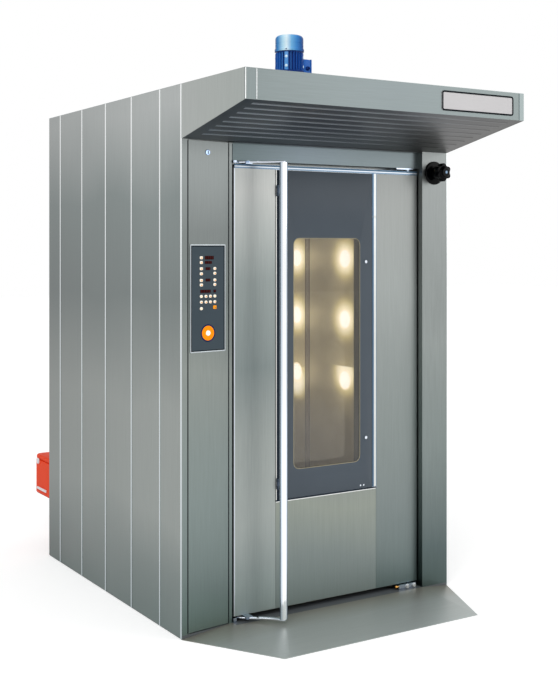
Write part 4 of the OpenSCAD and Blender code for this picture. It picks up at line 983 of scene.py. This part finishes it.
class OVEN_OT_hood_ceiling(bpy.types.Operator):
    """Dark ribbed sheet under the hood"""

    bl_idname = "oven.hood_ceiling"
    bl_label = "Hood Underside"

    def execute(self, context):
        low, high = box_mm("hood_underside")
        y0, z0, z1 = low[1], box_mm("hood_fascia")[0][2], low[2]
        slope = math.atan((z0 - z1 - 2) / (Y_FRONT - y0))
        run = (Y_FRONT - y0 - 1) / math.cos(slope)
        sheet = block((low[0], 0, 0), (high[0], run, 2), 0.4)
        first, last, count, margin = 45, run - 75, 8, 70
        # Section of a rib, hanging from the sheet
        crest = [
            (-17, 0), (-12, -2.5), (-7.5, -8.5), (-4, -11), (4, -11), (7.5, -8.5), (12, -2.5),
            (17, 0),
        ]
        rib = settle(prism(crest, X_LEFT + margin, X_RIGHT - margin, "YZ"))
        bpy.ops.object.mode_set(mode="EDIT")
        for side in (-1, 1):
            choose(rib, "FACE", lambda face: face.normal.x * side > 0.9)
            bpy.ops.transform.resize(value=(1, 0.5, 0.1), center_override=(0, 0, 0))
            bpy.ops.transform.translate(value=(side * 14 * MM, 0, 0))
        bpy.ops.object.mode_set(mode="OBJECT")
        rib.data.transform(Matrix.Translation((0, first * MM, 0)))
        ribs = repeated(rib, (0, (last - first) / (count - 1), 0), count)
        for part in [sheet, *ribs]:
            part.rotation_euler = (-slope, 0, 0)
            part.location = (0, y0 * MM, z0 * MM)
            settle(part)
        rear = block((-506, Y_FRONT + 2, z1), (506, high[1], z1 + 2), 0.3)
        parts = painted("under", sheet, rear, *ribs)
        # Rib crests carry a painted highlight, their rear flanks painted shade
        down = Vector((0, -math.sin(slope), -math.cos(slope)))
        for part in ribs:
            part.data.materials.append(M["rib"])
            part.data.materials.append(M["gap"])
            for face in part.data.polygons:
                if face.normal.dot(down) > 0.98:
                    face.material_index = 1
                elif face.normal.y > 0.35 and face.normal.dot(down) > 0.3:
                    face.material_index = 2
        piece("HoodCeiling", ROOT, "hood_dark", parts, "hood_underside")
        return {"FINISHED"}


# ---------------------------------------------------------------- door and column


class OVEN_OT_window(bpy.types.Operator):
    """Outer glass leaf: a printed border round the clear window, and its print line"""

    bl_idname = "oven.window"
    bl_label = "Outer Glass"

    def execute(self, context):
        low, high = box_mm("outer_glass")
        inner_low, inner_high = box_mm("inner_glass")
        corner = context.scene.oven_look.window_corner / MM

        def outline(inset, radius):
            return rounded_outline(
                (inner_low[0] + 15 + inset, inner_low[2] + 20 + inset),
                (inner_high[0] - 15 - inset, inner_high[2] - 20 - inset), radius,
            )

        outer = rounded_outline((low[0], low[2]), (high[0], high[2]), 2)
        border = frame_plate(outer, outline(0, corner), low[1], high[1], edge=0.5)
        pane = prism(outline(0.3, corner), low[1] + 0.8, high[1] - 0.8, "XZ")
        line = frame_plate(
            outline(-1, corner + 1), outline(1.6, corner - 1.6), low[1] - 0.3, low[1] + 0.4
        )
        parts = painted("glass_border", border) + painted("print_line", line)
        piece("GlassBorder", "glass_leaf", "outer_glass", parts, "outer_glass")
        piece("ClearWindow", "glass_leaf", "outer_glass", painted("window", pane))
        return {"FINISHED"}


class OVEN_OT_keypad(bpy.types.Operator):
    """Bezel, keys, dark displays and ring of the control film, and the start button"""

    bl_idname = "oven.keypad"
    bl_label = "Keypad"

    def execute(self, context):
        low, high = box_mm("keypad")
        z0, z1 = low[2], high[2]
        u, half = KEYPAD_U, 91

        def rim(inset, radius):
            return rounded_outline(
                (u - half + inset, z0 + inset), (u + half - inset, z1 - inset), radius
            )

        bezel = frame_plate(rim(-0.5, 3), rim(4, 2), -3.2, -0.4, edge=0.8)
        groove = frame_plate(rim(4.2, 2), rim(8, 2), -2.5, -1.9)
        parts = on_column(painted("bezel", bezel) + painted("plate_rim", groove))
        piece("KeypadBezel", "control_cover", "keypad_film", parts)

        def raised(key, x, t, w, h, radius, steps, front, back=-2.02, edge=0.0):
            """A raised field of a size, x and t from the keypad's top left corner."""
            cx, cz = u - half + x, z1 - t
            outline = rounded_outline(
                (cx - w / 2, cz - h / 2), (cx + w / 2, cz + h / 2), radius, steps
            )
            return painted(key, prism(outline, front, back, "XZ", edge))

        # The keys, their marks, the ring and the start button glow faintly as painted light
        # Keys: x, distances from the top, width, height, colour, mark, corner
        parts = []
        for x, rows, w, h, face, mark, radius in (
            (56, (55, 75, 101, 122, 150, 169), 15.5, 12.5, "key_white", "key_orange", 4),
            (126, (101, 121, 149, 168), 14.5, 12.5, "key_white", "key_orange", 5),
            (56, (217,), 14.5, 12.5, "key_white", "key_cream", 5.5),
            (56, (241,), 14.5, 12.5, "key_white", "key_orange", 5.5),
            (80, (217, 241), 14.5, 12.5, "key_white", "key_orange", 5.5),
            (103, (217, 241), 14.5, 12.5, "key_white", "key_orange", 5.5),
            (126, (217,), 14.5, 12.5, "key_white", "key_cream", 5.5),
            (126, (241,), 14.5, 12.5, "key_white", "key_orange", 5.5),
            (56, (268,), 15, 13, "key_white", "key_cream", 6),
            (126, (264,), 16.5, 14.5, "key_orange", "key_brown", 2),
        ):
            for t in rows:
                parts += raised(face, x, t, w, h, radius, 4, -4.2, edge=0.6)
                parts += raised(
                    mark, x + w * 0.1, t + h * 0.125, w * 0.4, h * 0.35, 1, 3, -4.5, -4.0
                )
        for x, t, w, h, digits in (
            (98, 55, 46, 15, 4), (93, 75, 37, 12, 3), (91, 101, 25, 12, 2),
            (91, 149, 25, 12, 2), (78, 196, 54, 13, 4), (126, 196, 13, 12, 1),
        ):
            parts += raised("display", x, t, w, h, 1.5, 3, -3.0, edge=0.3)
            cz, wide = z1 - t, w / digits
            for i in range(digits):
                x0 = u - half + x - w / 2 + wide * (i + 0.28)
                for a in (-0.32, -0.04, 0.24):
                    bar = block(
                        (x0, -3.2, cz + h * a), (x0 + wide * 0.44, -2.9, cz + h * (a + 0.08))
                    )
                    parts += painted("digit", bar)
        cz = z0 + 79
        for outer_r, inner_r, front, key in (
            (31, 11.8, -3.5, "ring_orange"), (37, 31.2, -2.7, "ring_dark"),
            (15, 11.6, -3.9, "key_orange"),
        ):
            loops = [arc(u, cz, r, 0, 360, 56)[:-1] for r in (outer_r, inner_r)]
            parts += painted(key, frame_plate(*loops, front, -2.02, edge=0.25))
        piece("KeypadKeys", "control_cover", "key_film", on_column(parts), "keypad_keys")
        button = turned(
            (u, 28, cz), "-Y",
            [(5, 0), (5, 22), (11, 22.05), (11, 31), *dome(11, 35, 3, 4), (6, 35), (4, 34.4),
             (0.5, 34.2)], 36,
        )
        parts = on_column(painted("button", button))
        piece("StartButton", "button", "white_plastic", parts, "start_button")
        return {"FINISHED"}


class OVEN_OT_cover_lock(bpy.types.Operator):
    """Quarter-turn lock of the control cover: chrome face with a key slot, barrel and cam"""

    bl_idname = "oven.cover_lock"
    bl_label = "Cover Lock"

    def execute(self, context):
        u, z = KEYPAD_U, middle("cover_lock")[2]
        face = turned(
            (u, 24, z), "-Y",
            [(9.9, 0), (9.9, 24), (12, 24.05), (12, 25), *dome(12, 27, 1.5, 4), (9, 27),
             (8.5, 26.2), (8, 26.2), (0.5, 26.2)],
        )
        cam = block((u - 9, 24.05, z - 8), (u + 60, 27, z + 8), 1)
        nut = turned((u, 24, z), "Y", [(7, 3), (7, 7), (6, 8)], 6)
        parts = painted("chrome", face, cam, nut)
        # The key slot is a dark strip of painted shade
        parts += strip("rubber", (u - 1.2, -2.6, z - 7), (u + 3.6, -2.1, z + 7))
        piece("CoverLock", "lock", "bright_steel", on_column(parts), "cover_lock")
        return {"FINISHED"}


class OVEN_OT_damper_knob(bpy.types.Operator):
    """Lobed knob on its rosette, with the rod and flap of the steam damper"""

    bl_idname = "oven.damper_knob"
    bl_label = "Damper Knob"

    def execute(self, context):
        x, _, z = middle("knob_rosette")
        back = box_mm("knob_rosette")[1][1]
        front, rod_end = (corner[1] for corner in box_mm("damper_control"))
        rosette = turned(
            (x, back, z), "-Y",
            [(54, 0), (55, 1), (55, 5), (53, 7.5), (49, 8.6), (32, 10), (31, 9), (27.2, 9),
             (27.1, 8)], 56,
        )
        piece("DamperRosette", ROOT, "black_plastic", painted("black", rosette), "knob_rosette")

        lobes, points = context.scene.oven_look.knob_lobes, []
        for i in range(lobes * 16):
            angle = 2 * math.pi * i / (lobes * 16)
            radius = 34 + 9 * (0.5 + 0.5 * math.cos(lobes * angle)) ** 0.8
            points.append((x + radius * math.sin(angle), z + radius * math.cos(angle)))
        head = prism(points, front + 17, front + 52, "XZ", 3.5, 3)
        neck = turned(
            (x, back - 10.3, z), "-Y", [(24, 0), (26, 1.5), (26, 10), (22, 20), (24, 31)], 48
        )
        crown = turned(
            (x, front + 18, z), "-Y",
            [(30, 0), (29, 4), (24, 7), (22, 8), (22, 14.5), (20, 16)], 48,
        )
        insert = turned(
            (x, front + 3, z), "-Y", [(7, 0), (7, 2), (6, 3), (3.5, 3), (3, 2), (0.5, 2)]
        )
        rod = turned((x, back - 12, z), "Y", [(6, 0), (6, rod_end - back + 12)], 24)
        flap = turned(
            (x, rod_end - 50, z - 1), "Z", [(41, 0), (41.5, 0.4), (41.5, 1.6), (41, 2)], 48
        )
        parts = (
            painted("black", head, neck, crown) + painted("groove", insert, rod)
            + painted("stainless", flap)
        )
        piece("DamperKnob", "damper", "black_plastic", parts, "damper_control")
        return {"FINISHED"}


class OVEN_OT_latch_levers(bpy.types.Operator):
    """Curved bright levers from the latch tongues to the handle bar"""

    bl_idname = "oven.latch_levers"
    bl_label = "Latch Levers"

    def execute(self, context):
        low, high = box_mm("latch_levers")
        pivot = [value / MM for value in joint("handle_turn")["pos_m"][:2]]
        # Corners of a lever from its tongue towards the bar, seen from above the pivot
        turns = [(pivot[0] + x, pivot[1] + y) for x, y in ((-32, 30), (-6, 2), (78, -52))]
        path = bent([*turns, middle("handle_bar")[:2]], 8)
        thick = box_mm("handle_bar")[0][2] - low[2]
        parts = []
        for z in (low[2], high[2] - thick):
            strap = prism(ribbon(path, 19), z, z + thick, "XY", 1.6, 3)
            boss = turned(
                (*pivot, z - 0.6), "Z",
                [(12, 0), (13, 0.6), (13, thick + 0.6), (12, thick + 1.2)], 32,
            )
            parts += painted("lever", strap) + painted("chrome", boss)
        piece("LatchLevers", "door_handle", "bright_steel", parts, "latch_levers")
        return {"FINISHED"}


class OVEN_OT_hex_bolts(bpy.types.Operator):
    """Hexagon bolts with washers at the hinge, bearing, gearbox, fan and burner"""

    bl_idname = "oven.hex_bolts"
    bl_label = "Hexagon Bolts"

    def execute(self, context):
        fan_z, drive_y = middle("fan_motor")[2], middle("motor_cowl")[1]
        drum_x, _, drum_z = middle("burner_cover")
        hinge_y, bearing = box_mm("hinge_brackets")[0][1], 2312
        # Place, axis, radius and height: two on the lower hinge bracket, then one on each
        # corner of the bearing, the gearbox, the fan motor and the burner's flange
        places = [((x, hinge_y, 27), "-Y", 9, 7) for x in (429, 469)]
        for i, j in ((-1, -1), (-1, 1), (1, -1), (1, 1)):
            places += [
                ((i * 58, j * 58, bearing), "Z", 8, 6),
                ((i * 74, drive_y + j * 74, bearing + 60), "Z", 7, 5),
                ((i * 84, Y_REAR + 10, fan_z + j * 84), "Y", 8, 6),
                ((drum_x + i * 84, Y_REAR + 12, drum_z + j * 84), "Y", 8, 6),
            ]
        parts = []
        for place, axis, r, height in places:
            head = turned((0, 0, 0), "Z", [(r, 1.4), (r, height - 1), (r * 0.86, height)], 6)
            washer = turned(
                (0, 0, 0), "Z",
                [(r * 1.25, 0.02), (r * 1.3, 0.4), (r * 1.3, 1.2), (r * 1.2, 1.5)], 28,
            )
            parts += stood(painted("bolt", head, washer), place, axis)
        piece("HexBolts", ROOT, "bright_steel", parts, "hex_bolts")
        return {"FINISHED"}


class OVEN_OT_burner(bpy.types.Operator):
    """Burner cover with its lid step, vents, plinth, window and switch strip"""

    bl_idname = "oven.burner"
    bl_label = "Burner"

    def execute(self, context):
        low, high = box_mm("burner_cover")
        proud, round_r = 0.8, 45
        x0, x1, y0, y1 = low[0], high[0], low[1] + 8, high[1] - proud
        z0, z1 = low[2], high[2]
        x, z = (x0 + x1) / 2, (z0 + z1) / 2

        def outline(inset):
            far, radius = y1 - round_r, round_r - inset
            return [
                (x1 - inset, y0 + inset), *arc(x1 - round_r, far, radius, 0, 90, 8),
                *arc(x0 + round_r, far, radius, 90, 90, 8), (x0 + inset, y0 + inset),
            ]

        shell = prism(outline(0), z0 + 4, z1 - 26, "XY", 3, 3)
        lid = prism(outline(2.5), z1 - 25, z1, "XY", 9, 4)
        tray = prism(outline(4), z0, z0 + 3.5, "XY", 0.8)
        plinth = block((x - 75, low[1], z - 75), (x + 75, y0, z + 75), 2)
        vent = block((x - 70, y1 - 1.5, z0 + 40), (x + 70, high[1], z0 + 46), 0.4, 1)
        parts = painted("burner", shell, lid) + painted("burner_low", tray, plinth)
        # The vents are dark slats of painted shade in their openings
        parts += painted("rubber", *repeated(vent, (0, 0, 14), 6))
        piece("BurnerCover", ROOT, "burner_red", parts, "burner_cover")
        low, high = box_mm("burner_fittings")
        window = rounded_outline((high[1] - 30, high[2] - 30), (high[1], high[2]), 9)
        switches = rounded_outline((low[1], low[2]), (low[1] + 140, low[2] + 14), 5)
        parts = [prism(outline, low[0], x0, "YZ", 1.5) for outline in (window, switches)]
        piece(
            "BurnerFittings", ROOT, "white_plastic", painted("white", *parts), "burner_fittings"
        )
        return {"FINISHED"}


# ---------------------------------------------------------------- chamber and trims


class OVEN_OT_chamber_lamps(bpy.types.Operator):
    """Bezels round the chamber lamps with a painted glow, side sheets with the lamps' halos
    painted on, rivets along the lining's seams, and the lamps' light
    """

    bl_idname = "oven.chamber_lamps"
    bl_label = "Chamber Lamps"

    def execute(self, context):
        low, high = box_mm("lamp_glasses")
        rise = (high[2] - low[2]) / 2 - LAMP_R
        wall = low[0] + 2
        parts = []
        for y in (low[1] + LAMP_R, high[1] - LAMP_R):
            for z in (low[2] + LAMP_R + i * rise for i in range(3)):
                loops = [arc(y, z, LAMP_R + r, 0, 360, 45)[:-1] for r in (8, 0.5)]
                bezel = frame_plate(*loops, wall - 2.2, wall - 1.05, "YZ", 0.4)
                # The bezels glow as painted light
                parts += painted("painted_glow_rim", bezel)
                bpy.ops.object.light_add(
                    type="POINT", location=((wall - 110) * MM, y * MM, z * MM)
                )
                light = bpy.context.object
                light.name = "ChamberLight"
                light.data.energy = 0.66
                light.data.shadow_soft_size = 0.06
                light.data.color = linear("#fff7de")[:3]
        piece("LampBezels", ROOT, "bright_steel", parts)
        front, back, edge = -515, high[1] + 60, 985
        upper = block((wall - 1, front, edge), (wall - 0.02, back, 2000))
        lower = block((wall - 0.4, front, 45), (wall - 0.02, back, edge - 0.4))
        # The side sheets carry the lamps' halos as painted light
        piece("LampSideSheets", ROOT, "stainless", painted("halo_painted_wall", upper, lower))
        seam = 352
        parts = strip("seam", (wall - 1.5, seam - 24, 46), (wall - 1.02, seam + 24, 1999), 0.1)
        parts += strip("seam_edge", (wall - 1.9, seam - 14, 46), (wall - 1.3, seam + 14, 1999))
        piece("LiningSeam", ROOT, "stainless", parts)
        rivet = turned((wall - 2.1, seam, 60), "-X", [(4, 0), (3.6, 1.2), (2.2, 2)], 12)
        parts = painted("bolt", *repeated(rivet, (0, 0, 120), 16))
        piece("LiningRivets", ROOT, "bright_steel", parts)
        return {"FINISHED"}


class OVEN_OT_trim_lines(bpy.types.Operator):
    """Grooves and rolled edges of the door's trims drawn as lines of painted shade and highlight,
    and dark strips of painted shade along the column's seams
    """

    bl_idname = "oven.trim_lines"
    bl_label = "Trim Lines"

    def execute(self, context):
        glass_low, glass_high = box_mm("outer_glass")
        door_low, door_high = box_mm("door_panels")
        front, sheet, flush = glass_low[1], door_low[1], 0.02
        x0, z0, z1 = glass_high[0] + 1, glass_low[2], door_high[2]
        strips = []
        # Profile right of the glass, in two lengths, drawn as lines of painted shade and
        # highlight: from, to, height above it, finish
        for a, b, depth, key in (
            (0.2, 5.4, 0.3, "groove_shade"), (5.6, 10.8, 0.3, "groove"),
            (11, 21.4, 0.6, "warm_edge"), (21.6, 24.8, 0.3, "groove"),
        ):
            for low, high in ((z0, 1762), (1763.5, z1)):
                strips += strip(key, (x0 + a, front - depth, low), (x0 + b, front - flush, high))
        # Rail along the door's top: painted shade in its grooves, a painted highlight on its edge
        left, right = door_low[0] + 1, door_high[0] - 1
        for a, b, depth, key in (
            (0.3, 5.5, 0.3, "groove"), (5.7, 10.2, 0.8, "edge"), (10.4, 17.7, 0.3, "groove_shade"),
        ):
            strips += strip(key, (left, front - depth, z1 + a), (right, front - flush, z1 + b))
        # Profile left of the glass, the gap and the fold under it, and the door's edge: painted
        # highlights on the profile, fold and edge, painted shadow in the gaps
        left, right, flat = glass_low[0] - 16.5, glass_low[0] - 1.2, sheet - 2
        for a, b, depth, key in (
            (left, left + 3.6, 0.6, "warm_edge"), (left + 3.8, right, 0.3, "gap")
        ):
            strips += strip(key, (a, flat - depth, z0 - 6), (b, flat - flush, z1 - 1))
        left, right = left + 1, x0 + 24
        for key, low, high, edge in (
            ("gap", (left, front - 0.3, z0 - 7.9), (right, front - flush, z0 - 1.2), 0.1),
            ("highlight_edge", (left, sheet - 1, z0 - 12), (right, sheet - flush, z0 - 8.1), 0.3),
            ("edge", (door_low[0] + 0.5, sheet - 0.8, 42),
             (door_low[0] + 6, sheet - flush, z1 - 1), 0.3),
        ):
            strips += strip(key, low, high, edge)
        piece("TrimLines", "door", "bright_steel", strips)
        # Painted highlight on the hood's left corner and painted shade along a fold line on its
        # front
        parts = strip(
            "highlight_edge", (X_LEFT + 0.2, Y_HOOD - 1.2, 2181), (X_LEFT + 3.4, Y_HOOD - flush, 2298),
            0.3,
        )
        parts += strip(
            "fold_line", (626.8, Y_HOOD - 1.4, 2182), (630.2, Y_HOOD - 1.02, 2297.9), 0.1
        )
        piece("HoodCornerEdge", ROOT, "bright_steel", parts)

        # Dark strips of painted shade in the column's seams and along the cover's edge
        beads = []
        for u0, u1, deep in ((28.6, 30.1, -flush), (241, 245.8, 1.5), (261.4, 264.1, -flush)):
            beads += strip("bead", (u0, -0.5, 20), (u1, deep, 2066))
        piece("ColumnSeamShade", ROOT, "black_plastic", on_column(beads))
        low, high = box_mm("cover_panel")
        seal = strip("bead", (33.3, 0.1, low[2] + 1), (33.92, 13, high[2] - 1))
        piece("CoverEdgeShade", "control_cover", "black_plastic", on_column(seal))
        return {"FINISHED"}


class OVEN_OT_hinge_bits(bpy.types.Operator):
    """Brass stop screw beside the lower hinge bracket"""

    bl_idname = "oven.hinge_bits"
    bl_label = "Hinge Stop"

    def execute(self, context):
        low = box_mm("hinge_brackets")[0]
        stop = turned(
            (low[0] - 0.02, low[1] + 10, 30), "-X",
            [(5, 0), (5, 8), (7.5, 8.2), (7.5, 15), (6, 17), (3, 17.4)], 6,
        )
        piece("HingeStop", ROOT, "bright_steel", painted("brass", stop))
        return {"FINISHED"}


# ---------------------------------------------------------------- stage


def seen_directly(tree):
    """1 for what the camera sees straight, in gloss or through glass, and 0 for light."""
    ray = add(tree, "LightPath").outputs
    seen = ray["Is Camera Ray"]
    for name in ("Is Glossy Ray", "Is Transmission Ray"):
        seen = add(tree, "Math", {0: seen, 1: ray[name]}, operation="MAXIMUM")
    return seen


class OVEN_OT_stage(bpy.types.Operator):
    """Makes the floor, the soft studio light and the camera"""

    bl_idname = "oven.stage"
    bl_label = "Stage"

    def execute(self, context):
        clear()
        bpy.ops.mesh.primitive_plane_add(size=60, location=(0, 0, -0.0005))
        floor = bpy.context.object
        floor.name = "Floor"
        M["floor"], tree, _ = new_material("PaleFloor")
        glow = add(tree, "Math", {0: seen_directly(tree), 1: 0.42}, operation="MULTIPLY")
        shine(
            tree, linear("#e8e8e8"), None, 0.9, emission_color=linear("#ffffff"),
            emission_strength=glow,
        )
        painted("floor", floor)

        world = bpy.data.worlds.new("Studio")
        context.scene.world = world
        world.use_nodes = True
        tree = world.node_tree
        tree.nodes.clear()
        strength = add(
            tree, "MapRange", {"Value": seen_directly(tree), "To Min": 0.72, "To Max": 1.0}
        )
        light = add(tree, "Background", {"Color": linear("#ffffff"), "Strength": strength})
        add(tree, "OutputWorld", {"Surface": light})

        for name, place, size, power in (
            ("KeyLight", (-4.5, -4.5, 5.5), 3.0, 150),
            ("FillLight", (4.0, -5.0, 3.5), 3.5, 60),
        ):
            bpy.ops.object.light_add(type="AREA", location=place)
            lamp = bpy.context.object
            lamp.name = name
            lamp.data.size = size
            lamp.data.energy = power
            aim = Vector((0, -0.2, 1.1)) - Vector(place)
            lamp.rotation_euler = aim.to_track_quat("-Z", "Y").to_euler()

        # Place, turn and lens that the straight edges of the cabinet give in the photograph
        bpy.ops.object.camera_add(
            location=(-2.920, -4.837, 1.628), rotation=(math.radians(90), 0, math.radians(-32.1))
        )
        camera = bpy.context.object
        camera.data.sensor_width = 36
        camera.data.lens = 58.9
        camera.data.shift_y = -0.1455
        camera.data.clip_end = 100
        context.scene.camera = camera
        context.scene.view_settings.view_transform = "Standard"
        return {"FINISHED"}


OPERATORS = (
    OVEN_OT_finishes, OVEN_OT_roof_motor, OVEN_OT_fan_motor, OVEN_OT_hood_plate,
    OVEN_OT_hood_ceiling, OVEN_OT_window, OVEN_OT_keypad, OVEN_OT_cover_lock,
    OVEN_OT_damper_knob, OVEN_OT_latch_levers, OVEN_OT_hex_bolts, OVEN_OT_burner,
    OVEN_OT_chamber_lamps, OVEN_OT_trim_lines, OVEN_OT_hinge_bits, OVEN_OT_stage,
)


class OVEN_PT_panel(bpy.types.Panel):
    """Lists the oven's values and pieces in the sidebar"""

    bl_idname = "OVEN_PT_panel"
    bl_label = "Rotating Rack Oven"
    bl_space_type = "VIEW_3D"
    bl_region_type = "UI"
    bl_category = "Oven"

    def draw(self, context):
        look = context.scene.oven_look
        for name in OvenLook.__annotations__:
            self.layout.prop(look, name)
        for operator in OPERATORS:
            self.layout.operator(operator.bl_idname)


CLASSES = (OvenLook, *OPERATORS, OVEN_PT_panel)


def register():
    for item in CLASSES:
        bpy.utils.register_class(item)
    bpy.types.Scene.oven_look = bpy.props.PointerProperty(type=OvenLook)


def unregister():
    del bpy.types.Scene.oven_look
    for item in reversed(CLASSES):
        bpy.utils.unregister_class(item)


def main():
    register()
    for operator in OPERATORS:
        group, name = operator.bl_idname.split(".")
        getattr(getattr(bpy.ops, group), name)()


if __name__ == "__main__":
    main()
